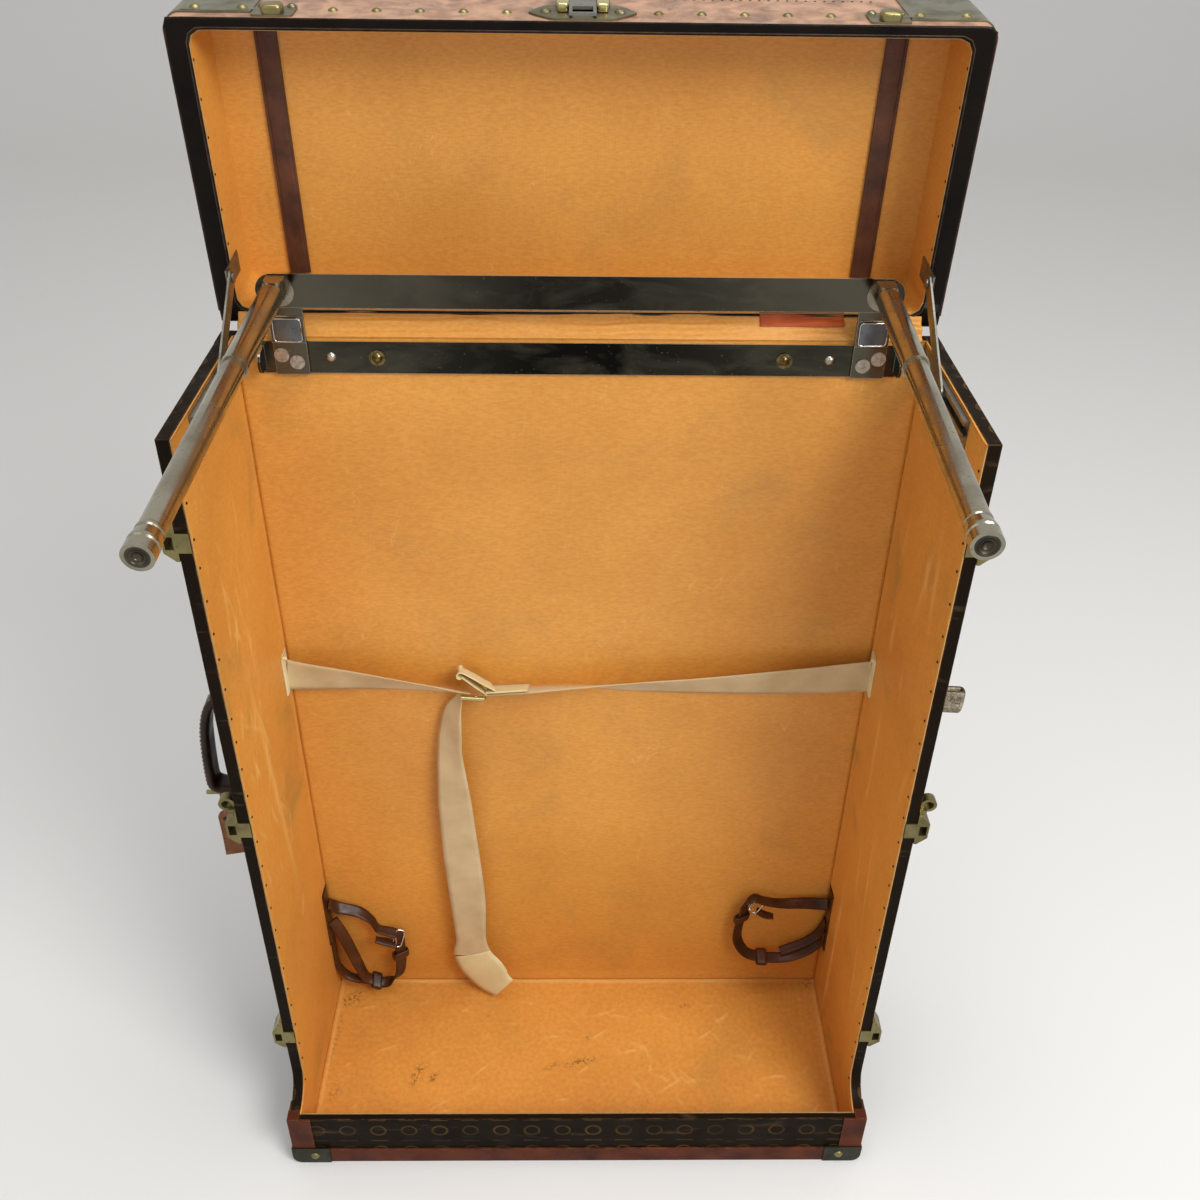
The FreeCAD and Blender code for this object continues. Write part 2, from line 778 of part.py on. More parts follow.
def lid_trims():
    """Leather edging: a band round the rim, a full-height front face and a folded band along the top."""
    band = ("lid_low", "lid_low + lid_rim_band")
    top = ("lid_high - lid_top_band", "lid_high + trim_thickness")
    outer = "corner_round + trim_thickness"
    void = lid_jacket("0", ("lid_low - 1", "lid_high"), "corner_round")
    ahead = box(("0 - trim_side", "trim_side"), ("trim_front", "back_in"), band)
    rim = common(lid_jacket("trim_thickness", band, outer), ahead)
    front_x = ("corner_round - side_out", "side_out - corner_round")
    front = box(front_x, ("trim_front", "front_out"), ("lid_low", "lid_high"))
    field = box(
        ("lid_top_band - side_out", "side_out - lid_top_band"),
        ("front_out + lid_top_band", "back_out - lid_top_band"),
        ("lid_high - 1", "lid_high + 10"),
    )
    fold = lid_jacket("trim_thickness", top, outer)
    lid_node("lid_trims", cut(fuse(rim, front, fold), void, field))


def lid_corner_caps():
    """Metal caps over the two front corners of the lid, on three faces."""
    grow = "trim_thickness + cap_thickness"
    high = "lid_high + trim_thickness + cap_thickness"
    z = ("lid_high - lid_cap_height", high)
    jacket = lid_jacket(grow, z, f"corner_round + {grow}")
    void_z = (f"{z[0]} - 1", "lid_high + trim_thickness")
    void = lid_jacket("trim_thickness", void_z, "corner_round + trim_thickness")
    metal = cut(jacket, void)
    columns = []
    for _, sign in SIDES:
        x = span(sign, "trim_side - lid_cap_length", "trim_side + 10")
        columns.append(box(x, ("trim_front - 10", "trim_front + lid_cap_depth"), z))
    lid_node("lid_corner_caps", common(metal, group(*columns)))


def lid_nails():
    """Nail heads along the front face, down both side bands and along the top's back band."""
    heads = []
    row = "lid_low + lid_nail_row"
    first = "lock_width / 2 + nail_pitch / 2"
    count = int(value("(catch_place - catch_width / 2 - lock_width / 2) / nail_pitch"))
    for i in range(count):
        for sign in (-1, 1):
            x = f"{sign} * ({first} + {i} * nail_pitch)"
            heads.append(dome("-y", "nail_radius", x, "trim_front", row))
    side_row = "lid_low + lid_rim_band / 2"
    for i in range(int(value("(trunk_depth - 2 * nail_pitch) / nail_pitch"))):
        y = f"front_out + (1.5 + {i}) * nail_pitch"
        heads.append(dome("-x", "nail_radius", "0 - trim_side", y, side_row))
        heads.append(dome("x", "nail_radius", "trim_side", y, side_row))
    for i in range(int(value("(trunk_width - 2 * nail_pitch) / nail_pitch / 2"))):
        for sign in (-1, 1):
            x = f"{sign} * (0.5 + {i}) * nail_pitch"
            y = "back_out - lid_top_band / 2"
            heads.append(dome("z", "nail_radius", x, y, "lid_high + trim_thickness"))
    for sign in (-1, 1):
        for further in ("0", "lid_rivet_pitch"):
            x = f"{sign} * (trim_side - lid_rivet_inset - {further})"
            heads.append(dome("-y", "cap_rivet_radius", x, "trim_front - cap_thickness", row))
    lid_node("lid_nails", *heads)


# --- lock, hasp and catches --------------------------------------------------


def lock():
    """Lock plate with two lugs that carry the hasp's pin."""
    face = "trim_front - plate_thickness"
    plate_y = (face, "trim_front")
    low = "lid_low + lock_gap"
    plate = box(around("0", "lock_width / 2"), plate_y, (low, f"{low} + lock_height"))
    back_x = around("0", "hasp_width / 2 + lug_width + lock_margin")
    back = box(back_x, plate_y, (low, "hasp_z + hasp_lug + lock_margin / 2"))
    pieces = [plate, back]
    lug_z = ("hasp_z - lug_drop", "hasp_z + hasp_lug")
    lug_y = ("hasp_y - hasp_knuckle - 1", face)
    near = "hasp_width / 2 + side_clearance"
    for _, sign in SIDES:
        pieces.append(box(span(sign, near, f"{near} + lug_width"), lug_y, lug_z))
        x = f"{sign} * (lock_width / 2 - lock_rivet_inset)"
        pieces.append(dome("-y", "cap_rivet_radius", x, face, f"{low} + lock_height / 2"))
    pieces.append(rod("x", "pin_radius", around("0", f"{near} + lug_width"), "hasp_y", "hasp_z"))
    lid_node("lock_plate", fuse(*pieces))


def hasp():
    """Slotted strap that hangs from the lugs over the lock plate and flips up about its pin."""
    x = around("0", "hasp_width / 2")
    bottom = "hasp_z - hasp_length"
    strap_y = around("hasp_y", "hasp_thickness / 2")
    strap = box(x, strap_y, (bottom, "hasp_z"))
    knuckle = rod("x", "hasp_knuckle", x, "hasp_y", "hasp_z")
    slot = box(
        around("0", "hasp_width / 2 - hasp_bar"),
        around("hasp_y", "hasp_thickness"),
        (f"{bottom} + hasp_bar", f"{bottom} + hasp_bar + hasp_slot"),
    )
    bore = rod("x", "pin_radius + pivot_clearance", around("0", "hasp_width"), "hasp_y", "hasp_z")
    lid_node("hasp", cut(fuse(strap, knuckle), slot, bore))


def catches():
    """Two small catches near the lid's front corners: a foot plate with a rounded tongue."""
    pieces = []
    face = "trim_front - plate_thickness"
    low = "lid_low + lock_gap"
    tongue_z = (low, f"{low} + catch_reach")
    for sign in (-1, 1):
        middle = f"{sign} * catch_place"
        plate_z = (low, f"{low} + catch_height")
        plate = box(around(middle, "catch_width / 2"), (face, "trim_front"), plate_z)
        tongue = rod("z", "catch_tongue", tongue_z, middle, face)
        front_half = box(around(middle, "catch_tongue"), (f"{face} - catch_tongue", face), tongue_z)
        pieces.append(fuse(plate, common(tongue, front_half)))
    lid_node("lid_catches", *pieces)


# --- lid hinges ----------------------------------------------------------------


def hinges():
    """Three butt hinges outside the back: two trunk knuckles with one lid knuckle between them."""
    back = ("back_out", "back_out + hinge_leaf_thickness")
    third = "hinge_width / 6"
    trunk_leaves, lid_leaves, pins = [], [], []
    for place in (-1, 0, 1):
        centre = f"{place} * hinge_spacing"
        whole = around(centre, "hinge_width / 2")
        middle = around(centre, f"{third} - side_clearance")
        ends = ((whole[0], f"{centre} - {third}"), (f"{centre} + {third}", whole[1]))
        bore = rod("x", "pin_radius + pivot_clearance", around(centre, "hinge_width"), "hinge_y", "hinge_z")
        solids = [box(whole, back, ("rim - hinge_leaf_height", "hinge_z - barrel_radius - side_clearance"))]
        for x in ends:
            solids.append(box(x, back, ("rim - hinge_leaf_height", "hinge_z")))
            solids.append(rod("x", "barrel_radius", x, "hinge_y", "hinge_z"))
        trunk_leaves.append(cut(fuse(*solids), bore))
        high = "hinge_z + hinge_leaf_height"
        leaf = box(whole, back, ("hinge_z + barrel_radius + side_clearance", high))
        tongue = box(middle, back, ("hinge_z", high))
        knuckle = rod("x", "barrel_radius", middle, "hinge_y", "hinge_z")
        lid_leaves.append(cut(fuse(leaf, tongue, knuckle), bore))
        pins.append(rod("x", "pin_radius", whole, "hinge_y", "hinge_z"))
    node("hinge_trunk_leaves", *trunk_leaves)
    lid_node("hinge_lid_leaves", *lid_leaves)
    node("hinge_pins", *pins)


# --- lid stays ---------------------------------------------------------------


def stay_tracks():
    """A channel under each side's rim, with a stop plate below its front end and a flat tail to the back."""
    low, high = around("stay_z", "track_height / 2")
    length = ("track_front", "track_back")
    tracks = []
    for _, sign in SIDES:
        wide = span(sign, "track_face", "side_face")
        lip = span(sign, "track_face", "track_face + track_lip_thickness")
        web = span(sign, "side_face - track_wall", "side_face")
        pieces = [
            box(web, length, (low, high)),
            box(wide, length, (low, f"{low} + track_wall")),
            box(wide, length, (f"{high} - track_wall", high)),
            box(lip, length, (low, f"{low} + track_wall + track_lip_height")),
            box(lip, length, (f"{high} - track_wall - track_lip_height", high)),
            box(web, ("track_front", "track_front + stop_plate_length"), (f"{low} - stop_plate_height", low)),
            box(web, ("track_back", "back_face"), (low, high)),
        ]
        tracks.append(fuse(*pieces))
    node("stay_tracks", *tracks)


def stay_sliders():
    """Shoes that run in the tracks; their studs stop just short of the stay arms."""
    half_height = "track_height / 2 - track_wall - side_clearance"
    for side, sign in SIDES:
        y = around("slider_open", "slider_length / 2")
        block_near = "track_face + track_lip_thickness + side_clearance"
        block_x = span(sign, block_near, "side_face - track_wall - side_clearance")
        neck_x = span(sign, "stay_inner + stay_thickness + side_clearance", block_near)
        neck_z = around("stay_z", f"{half_height} - track_lip_height - side_clearance")
        block = box(block_x, y, around("stay_z", half_height))
        neck = box(neck_x, around("slider_open", "stay_rivet_head"), neck_z)
        node(f"stay_slider_{side}", fuse(block, neck))


def stay_arms():
    """Flat links from the lid's brackets to the sliders."""
    for side, sign in SIDES:
        x = span(sign, "stay_inner", "stay_inner + stay_thickness")
        rise = "stay_width / 2"
        end = "slider_open + stay_length"
        through = span(sign, "stay_inner - stay_thickness", "stay_inner + 2 * stay_thickness")
        link = fuse(
            box(x, ("slider_open", end), around("stay_z", rise)),
            rod("x", rise, x, "slider_open", "stay_z"),
            rod("x", rise, x, end, "stay_z"),
        )
        bore = "stay_rivet_radius + pivot_clearance"
        holes = [rod("x", bore, through, place, "stay_z") for place in ("slider_open", end)]
        rising = "asin((stay_climb) / stay_length)"
        arm = turned(group(cut(link, *holes)), (1, 0, 0), rising, "0", "slider_open", "stay_z")
        node(f"stay_arm_{side}", arm)


def stay_brackets():
    """Plates on the lid's side walls that drop below the rim and carry the stay arms' rivets."""
    brackets = []
    for _, sign in SIDES:
        plate_x = span(sign, "lid_side_face - bracket_thickness", "lid_side_face")
        y = around("stay_pivot_y", "bracket_width / 2")
        plate = box(plate_x, y, ("stay_z - bracket_below", "lid_low + bracket_above"))
        head_end = "stay_inner - side_clearance - bracket_thickness"
        head_x = span(sign, head_end, "stay_inner - side_clearance")
        pin_x = span(sign, head_end, "lid_side_face")
        rivet = rod("x", "stay_rivet_radius", pin_x, "stay_pivot_y", "stay_z")
        head = rod("x", "stay_rivet_head", head_x, "stay_pivot_y", "stay_z")
        brackets.append(fuse(plate, rivet, head))
    lid_node("stay_brackets", *brackets)


# --- hanger rail and arms -------------------------------------------------------


def rail():
    """Two flat bars joined by uprights: an eared one on the back and a round-ended one above the rim."""
    lower_y, lower_z = ("lower_rail_front", "back_face"), ("lower_rail_low", "lower_rail_top")
    lower = [box(around("0", "rail_half_length"), lower_y, lower_z)]
    for _, sign in SIDES:
        x = span(sign, "rail_half_length - rail_ear_thickness", "rail_half_length")
        ear_y = "lower_rail_front - rail_ear_reach"
        middle = "lower_rail_low + rail_height / 2"
        lower.append(box(x, (ear_y, "lower_rail_front"), around(middle, "rail_ear_radius")))
        lower.append(rod("x", "rail_ear_radius", x, ear_y, middle))
    node("lower_rail_bar", fuse(*lower))
    uprights = []
    for _, sign in SIDES:
        x = span(sign, "upright_place", "upright_place + upright_width")
        plate_z = ("lower_rail_low", "upper_rail_middle + rail_height / 3")
        plate = box(x, ("upright_front", "lower_rail_front"), plate_z)
        pad_y = ("upright_front - upright_pad_thickness", "upright_front")
        pad_z = ("lower_rail_top", "lower_rail_top + upright_pad_height")
        pad = box(x, pad_y, pad_z)
        uprights.append(fuse(plate, pad))
    node("rail_uprights", *uprights)
    bar_y = ("upper_rail_front", "upright_front")
    radius = "rail_height / 2"
    reach = "rail_half_length - upper_rail_inset - rail_height / 2"
    straight = box(around("0", reach), bar_y, around("upper_rail_middle", radius))
    ends = [rod("y", radius, bar_y, f"{sign} * ({reach})", "upper_rail_middle") for sign in (-1, 1)]
    node("upper_rail_bar", fuse(straight, *ends))


def rail_fasteners():
    """Screws and ringed rivets of the lower bar, and two flat rivets on each upright's foot."""
    middle = "lower_rail_low + rail_height / 2"
    heads = []
    for sign in (-1, 1):
        heads.append(dome("-y", "screw_radius", f"{sign} * screw_place", "lower_rail_front", middle))
        ring_x = f"{sign} * ring_rivet_place"
        washer_face = "lower_rail_front - disc_thickness"
        washer = rod("y", "washer_radius", (washer_face, "lower_rail_front"), ring_x, middle)
        heads.append(fuse(washer, dome("-y", "screw_radius", ring_x, washer_face, middle)))
        face = ("upright_front - disc_thickness", "upright_front")
        outer, inner = "upright_width - disc_radius", "disc_radius * 1.5"
        for out, rise in ((outer, "disc_radius / 2"), (inner, "0 - disc_radius / 2")):
            disc_x = f"{sign} * (upright_place + {out})"
            heads.append(rod("y", "disc_radius", face, disc_x, f"{middle} + {rise}"))
    node("rail_fasteners", *heads)


def arm_clevises():
    """Round bosses on the upper bar with two ears and an upright pin for each hanging arm."""
    forks = []
    for sign in (-1, 1):
        x = f"{sign} * arm_place"
        pieces = [rod("y", "boss_radius", ("boss_front", "upper_rail_front"), x, "upper_rail_middle")]
        for near, far in (("ear_low", "ear_high"), ("0 - ear_high", "0 - ear_low")):
            z = (f"arm_z + {near}", f"arm_z + {far}")
            pieces.append(box(around(x, "ear_radius"), ("arm_y", "boss_front"), z))
            pieces.append(rod("z", "ear_radius", z, x, "arm_y"))
        pieces.append(rod("z", "arm_pin_radius", around("arm_z", "ear_high"), x, "arm_y"))
        forks.append(fuse(*pieces))
    node("arm_clevises", *forks)


def along_arm(body, side, sign):
    """Point a body's own Z axis forward along a hanging arm, drooping, from its pivot."""
    body.Placement = Placement(Vector(), Rotation(Vector(1, 0, 0), 90))
    bind(body, Placement__Base__x=f"{sign} * arm_place", Placement__Base__y="arm_y")
    bind(body, Placement__Base__z="arm_z")
    return bind(body, Placement__Rotation__Angle=f"90 + arm_droop_{side}")


def swung(piece, side, sign):
    """Each arm stands turned a little to the left about its upright pin."""
    return turned(group(piece), (0, 0, 1), f"0 - arm_swing_{side}", f"{sign} * arm_place", "arm_y", "0")


def arm_tubes():
    """Fixed tube of each telescopic arm, ringed at its mouth, with the eye that swings on the clevis pin."""
    start, mouth = "arm_tube_start", "arm_tube_length"
    for side, sign in SIDES:
        tube = revolved([
            ("0", "arm_pin_radius"),
            ("arm_neck_radius", "arm_pin_radius"),
            ("arm_neck_radius", start),
            ("arm_tube_radius - ring_slope", start),
            ("arm_tube_radius", f"{start} + ring_slope"),
            ("arm_tube_radius", f"{mouth} - tube_ring_width - ring_slope"),
            ("arm_tube_radius + ring_height", f"{mouth} - tube_ring_width"),
            ("arm_tube_radius + ring_height", mouth),
            ("arm_bore", mouth),
            ("arm_bore", f"{start} + arm_end_wall"),
            ("0", f"{start} + arm_end_wall"),
        ])
        x = f"{sign} * arm_place"
        eye = rod("z", "arm_eye_radius", around("arm_z", "arm_eye_half"), x, "arm_y")
        bore = rod("z", "arm_pin_radius + pivot_clearance", around("arm_z", "ear_high * 2"), x, "arm_y")
        node(f"arm_tube_{side}", swung(cut(fuse(eye, along_arm(tube, side, sign)), bore), side, sign))


def arm_extensions():
    """Sliding tube of each arm, ending in a flared bell and a dished knob."""
    end = "arm_length"
    knob = f"({end} - knob_length)"
    bell = f"({knob} - bell_length)"
    bore = "extension_radius - extension_wall"
    ring_end = f"{bell} + ring_slope + extension_ring_width"
    corners = [
        (bore, "extension_start"),
        ("extension_radius", "extension_start"),
        ("extension_radius", bell),
        ("extension_radius + ring_height", f"{bell} + ring_slope"),
        ("extension_radius + ring_height", ring_end),
        ("extension_radius", f"{ring_end} + ring_slope"),
        ("knob_radius", f"{knob} - knob_collar"),
        ("knob_radius", knob),
        ("extension_radius + ring_height", f"{knob} + knob_groove / 2"),
        ("knob_radius", f"{knob} + knob_groove"),
        ("knob_radius", end),
        ("knob_dish_radius", end),
        ("0", f"{end} - knob_dish_depth"),
        ("0", bell),
        (bore, bell),
    ]
    for side, sign in SIDES:
        node(f"arm_extension_{side}", swung(along_arm(revolved(corners), side, sign), side, sign))


# --- handles and luggage tag -----------------------------------------------------


def handle_blank(inset, width):
    """The grip's outline, drawn in by inset, as a block whose two outer corners are rounded."""
    out = f"0 - side_out - handle_reach + {inset}"
    low = f"handle_height - handle_half - grip_thickness / 2 + {inset}"
    high = f"handle_height + handle_half + handle_crown - ({inset})"
    blank = box((out, "0"), width, (low, high))
    for edge, radius in ((high, "handle_top_round"), (low, "handle_bottom_round")):
        x, z = value(out), value(edge)
        blank = rounded(blank, f"{radius} - {inset}", lambda p: abs(p.x - x) < 0.01 and abs(p.z - z) < 0.01)
    return blank


def left_handle():
    """Broad leather grip with a round shoulder, between two brass eyes on upright pins outside the side."""
    outer = handle_blank("0", around("handle_depth", "grip_width / 2"))
    inner = handle_blank("grip_thickness", around("handle_depth", "grip_width"))
    clear_x = ("0 - side_out - 2 * handle_reach", "0 - grip_end")
    clear = box(clear_x, around("handle_depth", "grip_width"), around("handle_height", "2 * handle_half"))
    node("left_handle_grip", common(cut(outer, inner), clear))
    eyes, mounts = [], []
    for sign in (-1, 1):
        z = f"handle_height + {sign} * handle_half"
        pivot = ("0 - handle_x", "handle_depth")
        eye = rod("z", "eye_radius", around(z, "eye_half"), *pivot)
        block = box(("0 - grip_end", pivot[0]), around(pivot[1], "mount_ear"), around(z, "eye_half"))
        bore = rod("z", "handle_pin_radius + pivot_clearance", around(z, "2 * eye_half"), *pivot)
        eyes.append(cut(fuse(eye, block), bore))
        plate_y = around(pivot[1], "mount_plate_width / 2")
        plate_z = around(z, "mount_plate_height / 2")
        pieces = [box(("0 - side_out - plate_thickness", "0 - side_out"), plate_y, plate_z)]
        for near in (-1, 1):
            middle = f"{z} + {near} * (eye_half + side_clearance + mount_ear_thickness / 2)"
            ear_z = around(middle, "mount_ear_thickness / 2")
            pieces.append(box((pivot[0], "0 - side_out"), around(pivot[1], "mount_ear"), ear_z))
            pieces.append(rod("z", "mount_ear", ear_z, *pivot))
        pin_z = around(z, "eye_half + side_clearance + mount_ear_thickness")
        pieces.append(rod("z", "handle_pin_radius", pin_z, *pivot))
        if sign < 0:
            ends = ("0 - side_out - tag_rod_reach", "0 - side_out")
            pieces.append(rod("x", "tag_rod_radius", ends, pivot[1], "tag_z"))
        mounts.append(fuse(*pieces))
    node("left_handle_ends", *eyes)
    node("left_handle_mounts", *mounts)


def luggage_tag():
    """Leather tag whose loop hangs on the rod under the lower handle mount."""
    middle = "0 - side_out - tag_place"
    strap_x = around(middle, "tag_strap_width / 2")
    loop = rod("x", "tag_rod_radius + tag_loop_wall", strap_x, "handle_depth", "tag_z")
    strap = box(strap_x, around("handle_depth", "tag_thickness / 2"), ("tag_top - tag_strap_width", "tag_z"))
    leaf_x = around(middle, "tag_width / 2")
    leaf = box(leaf_x, around("handle_depth", "tag_thickness / 2"), ("tag_top - tag_length", "tag_top"))
    bore = rod("x", "tag_rod_radius + pivot_clearance", around(middle, "tag_width"), "handle_depth", "tag_z")
    node("luggage_tag", cut(fuse(loop, strap, leaf), bore))


def right_tab():
    """A stout leather tab on the right side: a strap folded back on itself, on a riveted plate."""
    z = around("side_handle_height", "tab_height / 2")
    end = "side_out + tab_reach"
    folded = box(("tab_foot", end), around("handle_depth", "tab_fold / 2"), z)
    middle = value("side_handle_height")
    soft = rounded(folded, "tab_round", lambda p: abs(p.x - value(end)) < 0.01 and abs(p.z - middle) < 0.01)
    slot_x = ("tab_foot - 1", f"{end} - tab_fold / 2")
    slot = box(slot_x, around("handle_depth", "tab_slot / 2"), around("side_handle_height", "tab_height"))
    node("right_strap_tab", cut(soft, slot))
    plate_z = around("side_handle_height", "tab_height / 2 + tab_plate_margin")
    plate = box(("side_out", "tab_foot"), around("handle_depth", "tab_plate_width / 2"), plate_z)
    rivets = []
    for sign in (-1, 1):
        y = f"handle_depth + {sign} * (tab_plate_width + tab_fold) / 4"
        rivets.append(dome("x", "nail_radius", "tab_foot", y, "side_handle_height"))
    node("right_tab_plate", fuse(plate, *rivets))


# --- straps inside -----------------------------------------------------------------


def web_straps():
    """Cotton webbing across the trunk: two ends drawn narrow and low at a buckle, and a hanging tail."""
    gather = "buckle_height / 2 - buckle_wire - side_clearance"
    half = "strap_width / 2"
    for side, sign in SIDES:
        wide = f"{sign} * (strap_end)"
        narrow = f"buckle_place + {sign} * buckle_width / 2"
        corners = [
            (wide, f"strap_height - {half}"),
            (narrow, f"buckle_z - ({gather})"),
            (narrow, f"buckle_z + {gather}"),
            (wide, f"strap_height + {half}"),
        ]
        body, _ = padded("XZ_Plane", corners, "strap_thickness")
        node(f"web_strap_{side}", put(body, "0", "strap_y + strap_thickness / 2", "0"))
    tail_x = around("buckle_place - tail_shift", "tail_width / 2")
    tail_y = around("strap_y - tail_standoff", "strap_thickness / 2")
    node("web_tail", box(tail_x, tail_y, ("tail_end", "buckle_z - buckle_height / 2 - side_clearance")))


def boot_straps():
    """A leather loop standing out from each side wall near the floor."""
    y = around("boot_strap_y", "boot_strap_width / 2")
    inner = "boot_strap_thickness"
    for side, sign in SIDES:
        near, far = "strap_end - boot_strap_reach", "strap_end"
        outer = box(span(sign, near, far), y, ("boot_strap_low", "boot_strap_high"))
        gap = box(
            span(sign, f"{near} + {inner}", f"{far} - {inner}"),
            around("boot_strap_y", "boot_strap_width"),
            (f"boot_strap_low + {inner}", f"boot_strap_high - {inner}"),
        )
        node(f"boot_strap_{side}", cut(outer, gap))


def strap_fittings():
    """Wall tabs of all straps, the webbing's buckle and the two small buckles of the leather loops."""
    tabs = []
    for _, sign in SIDES:
        x = span(sign, "strap_end", "side_face")
        web_z = around("strap_height", "strap_width / 2 + anchor_margin")
        tabs.append(box(x, around("strap_y", "strap_tab_half"), web_z))
        boot_z = ("boot_strap_low - boot_anchor_below", "boot_strap_high + boot_anchor_above")
        tabs.append(box(x, around("boot_strap_y", "boot_strap_width / 2 + anchor_margin"), boot_z))
    node("strap_anchors", *tabs)
    frame_half = "buckle_width / 2 - side_clearance"
    frame_y = around("strap_y", "buckle_thickness / 2")
    frame = box(around("buckle_place", frame_half), frame_y, around("buckle_z", "buckle_height / 2"))
    window = box(
        around("buckle_place", f"{frame_half} - buckle_wire"),
        around("strap_y", "buckle_thickness"),
        around("buckle_z", "buckle_height / 2 - buckle_wire"),
    )
    buckles = [cut(frame, window)]
    half = "boot_strap_thickness / 2"
    middle = "boot_strap_high - boot_strap_thickness / 2"
    for _, sign in SIDES:
        near = "strap_end - small_buckle_place"
        far = f"{near} + small_buckle_length"
        outer_y = around("boot_strap_y", "boot_strap_width / 2 + sliding_clearance + small_buckle_wire")
        outer_z = around(middle, f"{half} + sliding_clearance + small_buckle_wire")
        gap_x = span(sign, f"{near} - small_buckle_wire", f"{far} + small_buckle_wire")
        gap_y = around("boot_strap_y", "boot_strap_width / 2 + sliding_clearance")
        gap = box(gap_x, gap_y, around(middle, f"{half} + sliding_clearance"))
        buckles.append(cut(box(span(sign, near, far), outer_y, outer_z), gap))
    node("strap_buckles", *buckles)


def check_and_export():
    doc.recompute()
    for thing in doc.Objects:
        if {"Invalid", "Error"} & set(thing.State):
            raise RuntimeError(f"{thing.Name} ({thing.Label}) did not compute: {thing.State}")
    os.makedirs("parts", exist_ok=True)
    for part in nodes:
        shape = part.Shape
        if shape.isNull() or not shape.isValid() or not shape.Solids:
            raise RuntimeError(f"{part.Label} has no valid solid")
    for part in nodes:
        part.Shape.exportStep(f"parts/{part.Label}.step")
        print(f"{part.Label}: {len(part.Shape.Solids)} solids, {part.Shape.Volume / 1000:.1f} cm3")


fill_sheet()
shell()
linings()
base_trims()
edge_trims()
trunk_nails()
keepers()
keeper_lever()
lid_boards()
lid_lining()
lid_battens()
lid_trims()
lid_corner_caps()
lid_nails()
lock()
hasp()
catches()
hinges()
stay_tracks()
stay_sliders()
stay_arms()
stay_brackets()
rail()
rail_fasteners()
arm_clevises()
arm_tubes()
arm_extensions()
left_handle()
luggage_tag()
right_tab()
web_straps()
boot_straps()
strap_fittings()
check_and_export()
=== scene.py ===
import json
import math

import bpy
import numpy as np
from mathutils import Matrix, Vector

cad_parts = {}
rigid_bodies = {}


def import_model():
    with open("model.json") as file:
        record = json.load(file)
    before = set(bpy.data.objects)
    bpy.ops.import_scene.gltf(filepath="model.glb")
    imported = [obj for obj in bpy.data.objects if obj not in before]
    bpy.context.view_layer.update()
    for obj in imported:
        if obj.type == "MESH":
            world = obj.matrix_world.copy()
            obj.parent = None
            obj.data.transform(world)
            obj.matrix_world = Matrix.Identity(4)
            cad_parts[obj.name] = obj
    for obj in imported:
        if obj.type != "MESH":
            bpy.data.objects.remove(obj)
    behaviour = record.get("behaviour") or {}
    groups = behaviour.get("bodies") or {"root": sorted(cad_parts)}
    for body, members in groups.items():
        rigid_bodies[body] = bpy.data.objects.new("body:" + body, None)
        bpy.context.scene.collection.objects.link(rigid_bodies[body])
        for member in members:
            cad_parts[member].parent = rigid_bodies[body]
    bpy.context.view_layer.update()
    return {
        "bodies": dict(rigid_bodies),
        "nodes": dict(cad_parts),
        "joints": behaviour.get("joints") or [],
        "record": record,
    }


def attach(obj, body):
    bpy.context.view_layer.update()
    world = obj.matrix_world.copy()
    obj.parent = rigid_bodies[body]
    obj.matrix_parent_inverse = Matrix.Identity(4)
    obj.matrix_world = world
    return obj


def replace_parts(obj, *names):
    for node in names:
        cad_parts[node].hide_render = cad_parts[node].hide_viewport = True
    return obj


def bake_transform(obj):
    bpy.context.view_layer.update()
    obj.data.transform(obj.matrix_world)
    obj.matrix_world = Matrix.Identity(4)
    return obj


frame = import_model()
nodes = frame["nodes"]
mm = 0.001

view = {
    "place": (-0.00056, -0.79435, 1.16169),
    "lens": 36.634,
    "yaw": 1.17,  # degrees to the right of +Y
    "pitch": 34.88,  # degrees below the horizon
    "roll": 0.91,
}


def linked(name, data):
    made = bpy.data.objects.new(name, data)
    bpy.context.scene.collection.objects.link(made)
    return made


def makeCamera():
    yaw, pitch, roll = (math.radians(view[k]) for k in ("yaw", "pitch", "roll"))
    ahead = np.array([math.sin(yaw) * math.cos(pitch), math.cos(yaw) * math.cos(pitch), -math.sin(pitch)])
    right = np.array([math.cos(yaw), -math.sin(yaw), 0])
    down = -np.cross(right, ahead)
    turnedRight = math.cos(roll) * right - math.sin(roll) * down
    turnedDown = math.sin(roll) * right + math.cos(roll) * down
    lens = bpy.data.cameras.new("camera")
    lens.lens, lens.sensor_width = view["lens"], 36
    camera = linked("camera", lens)
    rows = np.eye(4)
    rows[:3, :4] = np.stack([turnedRight, -turnedDown, -ahead, view["place"]], axis=1)
    camera.matrix_world = Matrix(rows.tolist())
    bpy.context.scene.camera = camera


makeCamera()
bpy.context.scene.view_settings.view_transform = "Standard"

studio = {
    "world": 0.52,
    "floor": (0.80, 0.79, 0.77),
    "glow": (0.62, 0.62, 0.61),  # what metal sees of the stage
    "lamps": [  # name, place, aim, size, watts
        ("key", (1.3, -1.5, 2.3), (-0.1, 0, 0.45), 1.3, 48),
        ("fill", (-1.3, -1.7, 1.8), (0, 0, 0.5), 1.6, 3),
        ("top", (0.1, 0.0, 3.0), (0, 0, 0.4), 1.6, 22),
    ],
}


finishes = {}
drawing = {}  # the material in hand: its name, itself, its node tree and its object coordinates


def linear(red, green, blue):
    # Blender's linear colour from 0 to 255 screen values.
    shade = np.array([red, green, blue]) / 255
    return (*np.where(shade <= 0.04045, shade / 12.92, ((shade + 0.055) / 1.055) ** 2.4).tolist(), 1)


def dimmed(colour, share):
    return tuple(c * share for c in colour)


